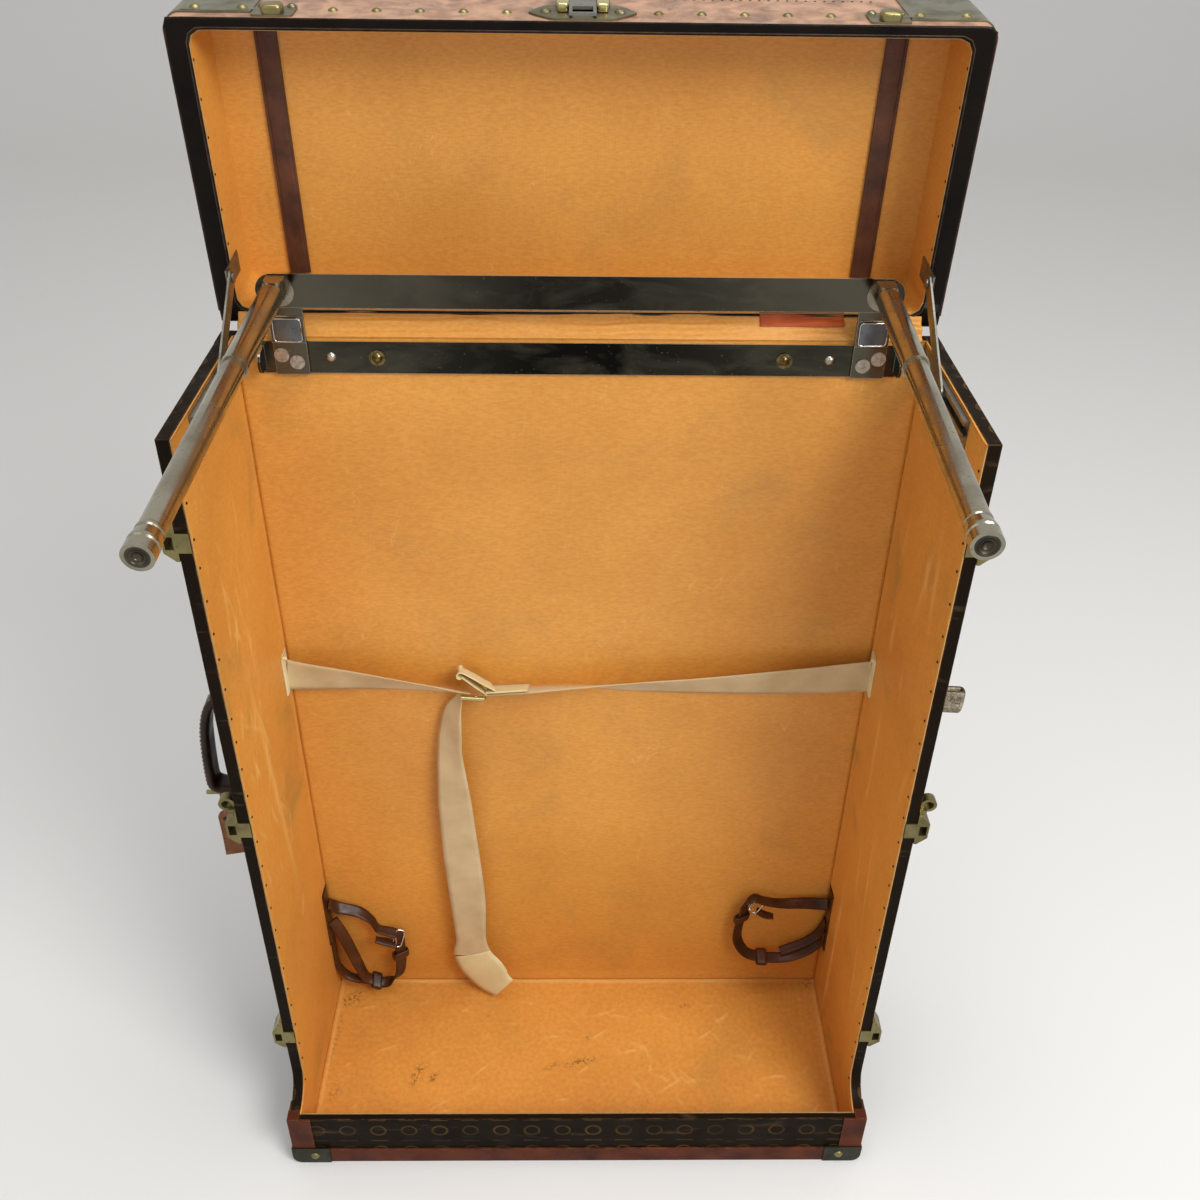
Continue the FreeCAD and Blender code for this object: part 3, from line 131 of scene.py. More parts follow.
def add(kind, inputs=None, **settings):
    # A shader node in the material in hand, with its settings, and its inputs set or linked.
    made = drawing["tree"].nodes.new("ShaderNode" + kind)
    for setting, choice in settings.items():
        setattr(made, setting, choice)
    for socket, given in (inputs or {}).items():
        if isinstance(given, bpy.types.NodeSocket):
            drawing["tree"].links.new(given, made.inputs[socket])
        else:
            made.inputs[socket].default_value = given
    return made


def startMaterial(name):
    # What follows is drawn in this material until the next one starts.
    material = bpy.data.materials.new(name)
    material.use_nodes = True
    material.node_tree.nodes.clear()
    drawing.update(name=name, material=material, tree=material.node_tree)
    drawing["place"] = add("TexCoord").outputs["Object"]


def noise(scale, detail=4, stretch=None, distortion=0):
    where = drawing["place"]
    if stretch:
        where = add("Mapping", {"Vector": where, "Scale": stretch}).outputs["Vector"]
    inputs = {"Vector": where, "Scale": scale, "Detail": detail, "Roughness": 0.55, "Distortion": distortion}
    return add("TexNoise", inputs).outputs[0]


def crazing(scale):
    # How far a place lies from the nearest edge in a net of cells.
    inputs = {"Vector": drawing["place"], "Scale": scale}
    return add("TexVoronoi", inputs, feature="DISTANCE_TO_EDGE").outputs["Distance"]


def ramp(factor, low, high):
    # A ramp between two (position, grey) stops.
    made = add("ValToRGB", {"Fac": factor})
    for i, (position, grey) in enumerate((low, high)):
        made.color_ramp.elements[i].position = position
        made.color_ramp.elements[i].color = (grey, grey, grey, 1)
    return made.outputs["Color"]


def mix(factor, first, second, mode="MIX"):
    # Two colours mixed, each a socket or 0 to 255 screen values.
    first, second = (linear(*given) if isinstance(given, tuple) else given for given in (first, second))
    return add("Mix", {0: factor, 6: first, 7: second}, data_type="RGBA", blend_type=mode).outputs[2]


def calc(operation, first, second=0.0, third=0.0):
    return add("Math", {0: first, 1: second, 2: third}, operation=operation).outputs[0]


def times(first, second):
    return calc("MULTIPLY", first, second)


def split(vector):
    # The three parts of a vector.
    return add("SeparateXYZ", {"Vector": vector}).outputs


def facing():
    # The three parts of the way the surface faces.
    return split(add("TexCoord").outputs["Normal"])


def attribute(name):
    return add("Attribute", attribute_name=name).outputs["Fac"]


def raised(height, depth, strength, below=None):
    inputs = {"Height": height, "Distance": depth, "Strength": strength}
    if below:
        inputs["Normal"] = below
    return add("Bump", inputs).outputs["Normal"]


def edges(radius):
    # 1 on sharp edges and 0 on flats: how far a rounded normal turns from the true one.
    soft = add("Bevel", {"Radius": radius}, samples=4).outputs["Normal"]
    true = add("NewGeometry").outputs["Normal"]
    dot = add("VectorMath", {0: soft, 1: true}, operation="DOT_PRODUCT").outputs["Value"]
    turn = calc("SUBTRACT", 1.0, dot)
    return add("MapRange", {"Value": turn, "From Min": 0.03, "From Max": 0.3}, clamp=True).outputs["Result"]


def finished(**sockets):
    # Give the material in hand its shader, and keep it under its name.
    shader = add("BsdfPrincipled", {k.replace("_", " "): v for k, v in sockets.items()})
    add("OutputMaterial", {"Surface": shader.outputs["BSDF"]})
    finishes[drawing["name"]] = drawing["material"]


def makeStage():
    # A pale floor that runs up into a pale wall, a quiet world and three soft lamps.
    startMaterial("paleStage")
    path = add("LightPath").outputs
    seen = calc("MAXIMUM", path["Is Glossy Ray"], path["Is Transmission Ray"])
    shader = add("BsdfDiffuse", {"Color": (*studio["floor"], 1)})
    glow = add("Emission", {"Color": (*studio["glow"], 1), "Strength": 1})
    both = add("MixShader", {0: seen, 1: shader.outputs[0], 2: glow.outputs[0]})
    add("OutputMaterial", {"Surface": both.outputs[0]})
    across = np.linspace(-9, 9, 3)
    turn = np.linspace(0, math.pi / 2, 13)
    bend = 1.5  # radius of the curve from floor to wall
    run = np.concatenate([[-7.0], 3.5 + bend * np.sin(turn), [5.0]])
    rise = np.concatenate([[0.0], bend - bend * np.cos(turn), [7.0]])
    points = xyz(across, run[:, None], rise[:, None]).reshape(-1, 3)
    mesh = bpy.data.meshes.new("backdrop")
    mesh.from_pydata(points.tolist(), [], gridFaces(len(run), len(across)).tolist())
    mesh.shade_smooth()
    mesh.materials.append(drawing["material"])
    linked("backdrop", mesh)
    world = bpy.data.worlds.new("studio")
    world.use_nodes = True
    light = world.node_tree.nodes["Background"].inputs
    light["Color"].default_value = (1, 1, 1, 1)
    light["Strength"].default_value = studio["world"]
    bpy.context.scene.world = world
    for name, place, aim, size, watts in studio["lamps"]:
        lamp = bpy.data.lights.new(name, "AREA")
        lamp.shape, lamp.size, lamp.energy = "DISK", size, watts
        holder = linked(name, lamp)
        holder.location = place
        holder.rotation_mode = "QUATERNION"
        holder.rotation_quaternion = Vector(np.array(place) - np.array(aim)).to_track_quat("Z", "Y")


def gridFaces(rows, columns, wrap=False):
    # Corner numbers of the quads of a grid, rows by columns; wrap joins the last column to the first.
    last = columns if wrap else columns - 1
    row, column = np.meshgrid(np.arange(rows - 1), np.arange(last), indexing="ij")
    beside = (column + 1) % columns
    corners = [row * columns + column, row * columns + beside, (row + 1) * columns + beside]
    return np.stack([*corners, (row + 1) * columns + column], axis=-1).reshape(-1, 4)


def unit(vectors):
    vectors = np.asarray(vectors, float)
    return vectors / np.maximum(np.linalg.norm(vectors, axis=-1, keepdims=True), 1e-12)


def xyz(x, y, z):
    # Places from their coordinates, each an array or one number for all of them.
    return np.stack(np.broadcast_arrays(x, y, z), axis=-1)


def distances(spine):
    # How far along a line each of its points lies.
    return np.concatenate([[0], np.cumsum(np.linalg.norm(np.diff(spine[:, :3], axis=0), axis=1))])


def flow(stops, count):
    # Smooth line through stops: each span is the cubic whose slope at a stop follows its neighbours.
    # Extra columns, such as a width, flow with it. The points come out evenly spaced.
    stops = np.asarray(stops, float)
    held = np.vstack([2 * stops[0] - stops[1], stops, 2 * stops[-1] - stops[-2]])
    t = np.linspace(0, len(stops) - 1, 40 * (len(stops) - 1) + 1)
    i = np.minimum(t.astype(int), len(stops) - 2)
    f = (t - i)[:, None]
    a, b, c, d = (held[i + k] for k in range(4))
    fine = 0.5 * (2 * b + (c - a) * f + (2 * a - 5 * b + 4 * c - d) * f**2 + (3 * b - a - 3 * c + d) * f**3)
    run = distances(fine)
    even = np.linspace(0, run[-1], count)
    return np.stack([np.interp(even, run, column) for column in fine.T], axis=1)


def loft(rings):
    # Skin over rings (rings, points, xyz): quads between rings, and strips across both ends. The strip
    # across the last ring is wound like the first one's, so one of the two faces inwards.
    count, around = rings.shape[:2]
    sides = gridFaces(count, around, wrap=True)
    i = np.arange(around // 2 - 1)
    strip = np.stack([around - 1 - i, around - 2 - i, i + 1, i], axis=1)
    return rings.reshape(-1, 3), np.concatenate([sides, strip, strip + (count - 1) * around])


def slab(front, back):
    # A sheet between two grids of points: each row runs along the front and returns along the back.
    return loft(np.concatenate([front, back[:, ::-1]], axis=1))


def ribbon(spine, across, width, thickness, cup=0.0, samples=9):
    # A strap: at each point of the spine, a thin lens across it. c runs from -1 to 1 over the width, the
    # middle line dips by cup times c squared, and the faces stand half a thickness off it, less at the edges.
    # Returns points, faces and a flat map of the strap in metres.
    tangent = unit(np.gradient(spine, axis=0))
    across = np.asarray(across, float)
    across = unit(across - (across * tangent).sum(1, keepdims=True) * tangent)
    normal = np.cross(tangent, across)
    c = np.linspace(-1, 1, samples)
    width = np.broadcast_to(width, len(spine))
    cup = np.broadcast_to(cup, len(spine))
    middle = spine[:, None] + across[:, None] * (width[:, None] / 2 * c)[..., None]
    middle = middle + normal[:, None] * (cup[:, None] * (c**2 - 1 / 3))[..., None]
    half = (thickness / 2 * (1 - 0.6 * np.abs(c) ** 6))[None, :, None] * normal[:, None]
    points, faces = slab(middle + half, middle - half)
    cross = np.concatenate([c, c[::-1]])
    run = distances(spine)
    flat = np.stack([width[:, None] / 2 * cross, np.repeat(run[:, None], 2 * samples, axis=1)], axis=-1)
    return points, faces, flat.reshape(-1, 2)


def tube(spine, radius, sides=8, up=(0, 0, 1), closed=False):
    # A round line: circles square to the spine, whose zero angle keeps clear of up.
    if closed:
        spine = np.vstack([spine, spine[:1]])
        tangent = unit(np.gradient(np.vstack([spine[-2], spine, spine[1]]), axis=0)[1:-1])
    else:
        tangent = unit(np.gradient(spine, axis=0))
    side = unit(np.cross(tangent, np.asarray(up, float)))
    lift = np.cross(side, tangent)
    angle = np.arange(sides) * 2 * math.pi / sides
    radius = np.broadcast_to(radius, len(spine))[:, None, None]
    wheel = side[:, None] * np.cos(angle)[None, :, None] + lift[:, None] * np.sin(angle)[None, :, None]
    return loft(spine[:, None] + radius * wheel)


def turnedShape(profile, sides):
    # A shape turned about its own Z: profile rows are (radius, height), from the foot to the tip.
    angle = np.arange(sides) * 2 * math.pi / sides
    ring = np.stack([np.cos(angle), np.sin(angle)], axis=1)
    profile = np.asarray(profile, float)
    flat = profile[:, None, :1] * ring[None]
    return loft(np.concatenate([flat, np.repeat(profile[:, None, 1:], sides, axis=1)], axis=-1))


def repeated(shape, places, forward, side):
    # Copies of a small shape: its Z points along forward and its X along side at each place.
    points, faces = shape
    z = unit(np.broadcast_to(np.asarray(forward, float), places.shape))
    x = np.broadcast_to(np.asarray(side, float), places.shape)
    x = unit(x - (x * z).sum(1, keepdims=True) * z)
    axes = np.stack([x, np.cross(z, x), z], axis=-1)
    moved = np.einsum("nij,kj->nki", axes, points) + places[:, None]
    shift = np.arange(len(places))[:, None, None] * len(points)
    return moved.reshape(-1, 3), (faces[None] + shift).reshape(-1, 4)


def joined(*shapes):
    # Several shapes as one.
    points, faces, base = [], [], 0
    for part in shapes:
        points.append(part[0])
        faces.append(part[1] + base)
        base += len(part[0])
    return np.concatenate(points), np.concatenate(faces)


openTurn = math.radians(85.5)
hingeLine = np.array([0, 114.25, 787]) * mm


def onLid(points):
    # Places drawn on the closed lid, swung back about the hinge line as the lid stands.
    y, z = points[..., 1] - hingeLine[1], points[..., 2] - hingeLine[2]
    swung = [y * math.cos(openTurn) + z * math.sin(openTurn), z * math.cos(openTurn) - y * math.sin(openTurn)]
    return np.stack([points[..., 0], swung[0] + hingeLine[1], swung[1] + hingeLine[2]], axis=-1)


def piece(name, shape, finish, body, turn=None):
    # Make a mesh object of a shape in metres and let it ride on a body. Its faces are flipped where the
    # volume they enclose comes out negative; loft's end strips can give that volume the wrong sign.
    points, faces = shape[:2]
    mesh = bpy.data.meshes.new(name)
    mesh.from_pydata(points.tolist(), [], faces.tolist())
    a, b, c, d = (points[faces[:, k]] for k in range(4))
    if (np.cross(b, c) * a).sum() + (np.cross(c, d) * a).sum() < 0:
        mesh.flip_normals()
    if len(shape) > 2:
        corners = np.zeros(len(mesh.loops), np.int32)
        mesh.loops.foreach_get("vertex_index", corners)
        layer = mesh.uv_layers.new(name="flat")
        layer.data.foreach_set("uv", shape[2][corners].astype(np.float32).ravel())
    mesh.shade_smooth()
    if turn:
        mesh.set_sharp_from_angle(angle=math.radians(turn))
    mesh.materials.append(finishes[finish])
    made = linked(name, mesh)
    if body:
        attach(made, body)
    return made


def lidPiece(name, shape, finish, turn=None):
    # A piece drawn on the closed lid.
    return piece(name, (onLid(shape[0]), shape[1]), finish, "lid", turn)


makeStage()
print("stage made")

cloth = {"lit": (228, 163, 72), "deep": (206, 141, 56), "stain": (156, 130, 70), "thread": 1.05}


def liningCloth(name, marks=0.0, bare=0.3, cracks=0.25):
    # Coated cotton: crossed threads on the object's own axes, slubs, cloudy stains and dark marks kept on the
    # mesh, which on the floor include a painted shadow.
    startMaterial(name)
    cloud = noise(5, 3)
    colour = mix(ramp(cloud, (0.3, 0), (0.75, 1)), cloth["lit"], cloth["deep"])
    patch = ramp(noise(11, 6, distortion=0.6), (0.56, 0), (0.78, 1))
    colour = mix(times(patch, bare), colour, cloth["stain"])
    slub = noise(620, 3, stretch=(0.35, 0.35, 1.0))
    colour = mix(ramp(slub, (0.35, 0), (0.7, 0.26)), colour, (196, 132, 60), "MULTIPLY")
    # hairline cracks: where a warped noise passes its middle value, kept to some patches
    warped = noise(17, 3, stretch=(2.2, 2.2, 0.8), distortion=0.7)
    line = calc("ABSOLUTE", calc("SUBTRACT", warped, 0.5))
    crack = times(ramp(line, (0.0, 1), (0.007, 0)), ramp(noise(19, 4), (0.52, 0), (0.64, 1)))
    colour = mix(times(crack, cracks), colour, (240, 200, 136))
    # dark marks kept on the mesh: scuffs, and on the floor one painted shadow
    if marks:
        ragged = ramp(noise(330, 6, distortion=0.6), (0.48, 0), (0.58, 1))
        colour = mix(times(times(attribute("darkMarks"), ragged), marks), colour, (58, 40, 24))
    colour = mix(times(attribute("rubbed"), 0.45), colour, (240, 196, 118))
    turns = 2000 * math.pi / cloth["thread"]
    threads = [calc("SINE", times(axis, turns)) for axis in split(drawing["place"])]
    weave = calc("ADD", calc("ADD", threads[0], threads[1]), threads[2])
    normal = raised(noise(160, 3), 0.0004, 0.35, raised(weave, 0.00006, 0.35))
    finished(Base_Color=colour, Roughness=ramp(cloud, (0.3, 0.42), (0.8, 0.58)), Normal=normal)


canvas = {
    "ground": (34, 22, 10),
    "deep": (15, 10, 5),
    "motif": (120, 86, 40),
    "scuff": (124, 98, 66),
    "pitch": (0.030, 0.034),  # from ring to ring, and from row to row
    "radius": 0.0072,
    "line": 0.0011,
    "dash": 0.0085,  # half the length of a stroke of the broken lines
    "strength": 0.5,
}


def wornCanvas(name, wear=0.8, bareFront=False):
    # Coated canvas: straight rows of small rings with broken lines between them, rubbed and scuffed.
    startMaterial(name)
    way = facing()
    x, y, z = split(drawing["place"])
    sideways = calc("GREATER_THAN", calc("ABSOLUTE", way[0]), 0.7)
    level = calc("GREATER_THAN", calc("ABSOLUTE", way[2]), 0.7)
    turned = ((x, sideways), (z, level))
    u, v = (calc("MULTIPLY_ADD", calc("SUBTRACT", y, axis), choice, axis) for axis, choice in turned)
    u, v = (
        times(calc("SUBTRACT", calc("FRACT", calc("DIVIDE", run, pitch)), 0.5), pitch)
        for run, pitch in zip((u, v), canvas["pitch"])
    )
    far = calc("SQRT", calc("ADD", times(u, u), times(v, v)))
    ring = calc("LESS_THAN", calc("ABSOLUTE", calc("SUBTRACT", far, canvas["radius"])), canvas["line"])
    row = calc("GREATER_THAN", calc("ABSOLUTE", v), canvas["pitch"][1] / 2 - 0.0007)
    drawn = calc("MAXIMUM", ring, times(row, calc("LESS_THAN", calc("ABSOLUTE", u), canvas["dash"])))
    if bareFront:  # the narrow rims that face the open front are plain
        drawn = times(drawn, calc("GREATER_THAN", way[1], -0.8))
    ground = mix(noise(9, 5), canvas["deep"], canvas["ground"])
    fade = ramp(noise(22, 5), (0.35, 0.1), (0.7, 1))
    colour = mix(times(times(drawn, fade), canvas["strength"]), ground, canvas["motif"])
    streak = ramp(noise(60, 6, stretch=(0.35, 0.35, 1.6), distortion=0.8), (0.6, 0), (0.74, 1))
    colour = mix(times(streak, 0.22), colour, canvas["scuff"])
    rub = times(edges(0.0016), ramp(noise(85, 5), (0.42, 0.05), (0.62, 1)))
    colour = mix(times(rub, wear), colour, canvas["scuff"])
    normal = raised(noise(70, 5), 0.0008, 0.35, raised(noise(620, 2), 0.0003, 0.4))
    rough = ramp(noise(40, 4), (0.3, 0.42), (0.75, 0.62))
    finished(Base_Color=colour, Roughness=rough, Normal=normal, Specular_IOR_Level=0.06)


def leather(name, fresh, dark, rubbed, rough=0.42, wear=0.7, fadedAndLit=None, sheen=0.3):
    # Old leather: cloudy colour, fine grain, dark cracks across it and rubbed edges.
    startMaterial(name)
    colour = mix(ramp(noise(34, 6), (0.3, 0), (0.7, 1)), fresh, dark)
    if fadedAndLit:  # paler on the open lid's up-facing front: partly faded leather, partly painted light on the face turned up to the lamps
        pale = times(calc("GREATER_THAN", facing()[2], 0.8), 0.9)
        blot = ramp(noise(60, 8, distortion=0.5), (0.36, 0), (0.66, 1))
        colour = mix(pale, colour, mix(blot, fadedAndLit, dimmed(fadedAndLit, 0.7)))
    line = ramp(crazing(150.0), (0.0, 1), (0.05, 0))
    seen = times(line, ramp(noise(30, 2), (0.5, 0), (0.7, 0.55)))
    colour = mix(seen, colour, dimmed(fresh, 0.35))
    rub = times(edges(0.0014), ramp(noise(120, 4), (0.4, 0.1), (0.65, 1)))
    colour = mix(times(rub, wear), colour, rubbed)
    normal = raised(noise(110, 5), 0.0007, 0.4, raised(noise(900, 3), 0.0003, 0.35))
    gloss = ramp(noise(55, 4), (0.3, rough - 0.1), (0.75, rough + 0.14))
    finished(Base_Color=colour, Roughness=gloss, Normal=normal, Specular_IOR_Level=sheen)


def tabLeather(name):
    # Thick leather whose front face has lost its colour and crazed to a pale grey.
    startMaterial(name)
    front = calc("LESS_THAN", facing()[1], -0.6)
    brown = mix(noise(60, 5), (92, 62, 44), (50, 34, 26))
    pale = mix(ramp(noise(150, 6), (0.35, 0), (0.65, 1)), (176, 164, 138), (104, 94, 74))
    crack = crazing(260.0)
    pale = mix(ramp(crack, (0.0, 1), (0.09, 0)), pale, (66, 54, 40))
    normal = raised(crack, 0.0008, 0.4, raised(noise(700, 3), 0.0003, 0.4))
    finished(Base_Color=mix(front, brown, pale), Roughness=0.6, Normal=normal)


def metal(name, bright, dull, rough=0.3, tarnish=0.6, scale=45, scratch=0.25):
    # Plated or bare metal: clean colour, tarnish in clouds and specks, and fine rubbing marks.
    startMaterial(name)
    cloud = ramp(noise(scale, 6, distortion=0.4), (0.42, 0), (0.68, 1))
    speck = ramp(noise(scale * 9, 3), (0.62, 0), (0.7, 1))
    aged = times(calc("MAXIMUM", cloud, speck), tarnish)
    normal = raised(noise(320, 3, stretch=(1, 0.1, 0.35)), 0.00008, scratch)
    gloss = calc("MULTIPLY_ADD", aged, 0.3, rough)
    finished(Base_Color=mix(aged, bright, dull), Roughness=gloss, Normal=normal, Metallic=1.0)


def barMetal(name, middle, ends):
    # Dark plated bar: grey near its ends and nearly black in the middle, with handled smudges, and a painted
    # highlight on its upper face and edges.
    startMaterial(name)
    out = calc("ABSOLUTE", split(drawing["place"])[0])
    tone = add("MapRange", {"Value": out, "From Min": 0.03, "From Max": 0.21}, clamp=True).outputs["Result"]
    smear = ramp(noise(26, 6, stretch=(0.6, 1, 1.8), distortion=0.9), (0.46, 0), (0.72, 1))
    colour = mix(times(smear, 0.35), mix(tone, middle, ends), (116, 110, 94))
    top = calc("GREATER_THAN", facing()[2], 0.7)  # the upper face, painted with a highlight
    colour = mix(top, colour, (240, 232, 206))
    # painted highlight along the bar's edges
    colour = mix(times(edges(0.0009), 0.85), colour, (224, 214, 190))
    pits = ramp(noise(480, 2), (0.7, 0), (0.76, 0.6))
    colour = mix(pits, colour, (150, 142, 124))
    gloss = calc("MULTIPLY_ADD", smear, 0.2, 0.12)
    normal = raised(noise(320, 3, stretch=(0.15, 1, 1)), 0.00005, 0.2)
    finished(Base_Color=colour, Roughness=gloss, Normal=normal, Metallic=1.0)


def fastenerMetal(name, reach=0.177):
    # Bright screws further out than reach, and brownish ringed rivets inside them.
    startMaterial(name)
    outer = calc("GREATER_THAN", calc("ABSOLUTE", split(drawing["place"])[0]), reach)
    aged = ramp(noise(300, 4), (0.35, 0), (0.7, 1))
    screw = mix(aged, (210, 206, 194), (150, 144, 130))
    rivet = mix(aged, (140, 124, 82), (70, 60, 38))
    normal = raised(noise(700, 2), 0.0001, 0.3)
    finished(Base_Color=mix(outer, rivet, screw), Roughness=0.28, Normal=normal, Metallic=1.0)


def webbing(name, pale, deep):
    # Cotton webbing on its own flat map: ribs across it, yarns along it, and cloudy soiling.
    startMaterial(name)
    flat = split(add("TexCoord").outputs["UV"])
    rib, yarn = (calc("SINE", times(flat[k], 2000 * math.pi / pitch)) for k, pitch in ((1, 1.5), (0, 1.3)))
    cross = times(rib, yarn)
    colour = mix(ramp(noise(24, 6), (0.3, 0), (0.72, 1)), pale, deep)
    colour = mix(calc("MULTIPLY_ADD", cross, 0.14, 0.2), colour, (120, 104, 80), "MULTIPLY")
    normal = raised(noise(90, 4), 0.0008, 0.3, raised(cross, 0.00012, 0.5))
    finished(Base_Color=colour, Roughness=0.85, Normal=normal, Sheen_Weight=0.15)


def thread(name, colour):
    startMaterial(name)
    shade = mix(noise(400, 3), colour, dimmed(colour, 0.6))
    finished(Base_Color=shade, Roughness=0.75, Normal=raised(noise(1800, 2), 0.0002, 0.5))


liningCloth("wallCloth")
liningCloth("sideCloth", bare=0.75, cracks=0.34)
liningCloth("floorCloth", marks=0.6, bare=0.25, cracks=0.16)
wornCanvas("canvas")
wornCanvas("sideCanvas", bareFront=True)
wornCanvas("lidCanvas", wear=0.6, bareFront=True)
leather("redLeather", (100, 44, 18), (64, 26, 10), (170, 104, 68), rough=0.5, sheen=0.16)
leather("lidLeather", (112, 54, 34), (70, 34, 22), (176, 120, 92), fadedAndLit=(194, 150, 120))
leather("brownLeather", (104, 62, 40), (60, 36, 26), (150, 104, 76), rough=0.36)
leather("darkLeather", (60, 38, 24), (30, 20, 13), (116, 84, 60), rough=0.4)
leather("strapLeather", (90, 50, 24), (44, 24, 12), (160, 108, 66), rough=0.34)
leather("rimBand", (22, 14, 8), (9, 6, 4), (104, 84, 58), rough=0.3, wear=0.8, sheen=0.12)
leather("labelLeather", (196, 92, 40), (150, 62, 26), (220, 150, 90), rough=0.5)
leather("tagLeather", (168, 106, 58), (108, 62, 32), (200, 148, 96), rough=0.5)
tabLeather("tabLeather")
metal("dullSteel", (150, 148, 138), (82, 78, 64), rough=0.36)
metal("agedBrass", (156, 144, 98), (78, 70, 44), rough=0.34)
metal("plateBronze", (140, 132, 104), (78, 74, 54), rough=0.38)
metal("capSteel", (146, 142, 118), (84, 80, 60), rough=0.34)
metal("footSteel", (72, 70, 56), (38, 37, 28), rough=0.4)
metal("padSteel", (120, 126, 130), (70, 72, 72), rough=0.2)
# darker steel for the knobs' dishes: painted shade in the hollows
metal("shadedDishSteel", (92, 86, 74), (48, 44, 36), rough=0.3)
metal("brightBrass", (222, 206, 146), (160, 142, 88), rough=0.24, tarnish=0.4)
metal("chrome", (214, 212, 206), (150, 140, 122), rough=0.09, tarnish=0.22, scale=30, scratch=0.12)
metal("armSteel", (178, 171, 152), (108, 98, 80), rough=0.2, tarnish=0.5, scale=34, scratch=0.15)
metal("tackIron", (70, 58, 44), (36, 28, 20), rough=0.45)
barMetal("barSteel", (42, 39, 34), (100, 95, 82))
# a darker copy of the bar steel for the lower bar: painted shade
barMetal("shadedLowBarSteel", (24, 23, 20), (66, 63, 53))
fastenerMetal("fasteners")
webbing("webbing", (232, 210, 164), (202, 176, 128))
# a paler copy of the webbing, painted light: for the lap, loop and tip, which face up to the lamps, and for
# the end tabs
webbing("litWebbing", (248, 234, 182), (226, 208, 148))
thread("cutEdge", (204, 168, 112))
thread("threadPale", (196, 170, 120))
thread("threadDark", (58, 42, 30))
print("materials made:", len(finishes))
print("materials made:", len(finishes))

nodeFinish = {
    "canvas": "back_panel base_panel front_lip",
    "sideCanvas": "left_side_panel right_side_panel",
    "lidCanvas": "lid_top_panel lid_side_walls lid_front_wall lid_back_wall",
    "wallCloth": "side_linings back_lining floor_lining lid_lining",
    "redLeather": "base_trims edge_trims",
    "lidLeather": "lid_trims",
    "brownLeather": "lid_battens left_handle_grip luggage_tag right_strap_tab"
    " boot_strap_left boot_strap_right",
    "footSteel": "base_corner_caps",
    "capSteel": "lid_corner_caps",
    "dullSteel": "stay_tracks stay_brackets stay_arm_left stay_arm_right"
    " stay_slider_left stay_slider_right strap_buckles hasp",
    "agedBrass": "trunk_nails lid_nails left_keepers right_keepers lock_plate lid_catches hinge_lid_leaves"
    " hinge_trunk_leaves hinge_pins keeper_lever_left keeper_lever_right left_handle_mounts left_handle_ends"
    " right_tab_plate",
    "barSteel": "rail_uprights upper_rail_bar",
    "shadedLowBarSteel": "lower_rail_bar",
    "fasteners": "rail_fasteners",
    "armSteel": "arm_clevises arm_tube_left arm_tube_right arm_extension_left arm_extension_right",
    "webbing": "web_strap_left web_strap_right web_tail strap_anchors",
}
for finish, names in nodeFinish.items():
    for name in names.split():
        nodes[name].data.materials.clear()
        nodes[name].data.materials.append(finishes[finish])
unpainted = set(nodes) - {name for names in nodeFinish.values() for name in names.split()}
print("nodes painted; left over:", sorted(unpainted))

lining = {
    "side": 0.2695,
    "back": 0.09975,
    "floor": 0.012,
    "rim": 0.7857,
    "lip": 0.070,
    "front": -0.07375,
    "lipIn": -0.10425,
    "sweep": 0.027,
    "under": 0.0008,  # how far a sheet reaches into the board's own lining
    "stand": 0.0003,
}


def frontEdge(z):
    # Where a side's lining ends at the front: on the lip below, back round a hollow arc, then straight up.
    fall = np.clip(lining["lip"] + lining["sweep"] - z, 0, lining["sweep"])
    arc = lining["front"] - lining["sweep"] + np.sqrt(lining["sweep"] ** 2 - fall**2)
    return np.where(z <= lining["lip"], lining["lipIn"], arc)


def creases(u, v, marks):
    # Soft ridges on a sheet: each is a bell across its line times a bell along it. A row of marks is
    # (u, v, angle in degrees, length, width, height).
    u0, v0, angle, length, width, height = np.asarray(marks, float).T
    c, s = np.cos(np.radians(angle)), np.sin(np.radians(angle))
    along = (u[..., None] - u0) * c + (v[..., None] - v0) * s
    sway = 0.0012 * np.exp(-((length / 0.1) ** 2)) + 0.0002  # long folds stay straight
    wave = sway * np.sin(along * 100 + u0 * 90)
    across = (v[..., None] - v0) * c - (u[..., None] - u0) * s + wave
    return (height * np.exp(-((along / length) ** 2) * 4 - (across / width) ** 2)).sum(-1)


def swell(u, v, seed, height):
    # A gentle unevenness: a few long sine waves in chance directions.
    draw = np.random.default_rng(seed)
    total = np.zeros(u.shape)
    for _ in range(6):
        turn, wave, start = draw.uniform(0, math.pi), draw.uniform(0.05, 0.16), draw.uniform(0, 6)
        total += np.sin((u * math.cos(turn) + v * math.sin(turn)) * 2 * math.pi / wave + start)
    return height * total / 6


def chanceMarks(seed, count, u, v, angle, length, width, height):
    # Rows for creases, each column drawn between two limits.
    draw = np.random.default_rng(seed)
    return np.stack([draw.uniform(*limits, count) for limits in (u, v, angle, length, width, height)], axis=1)


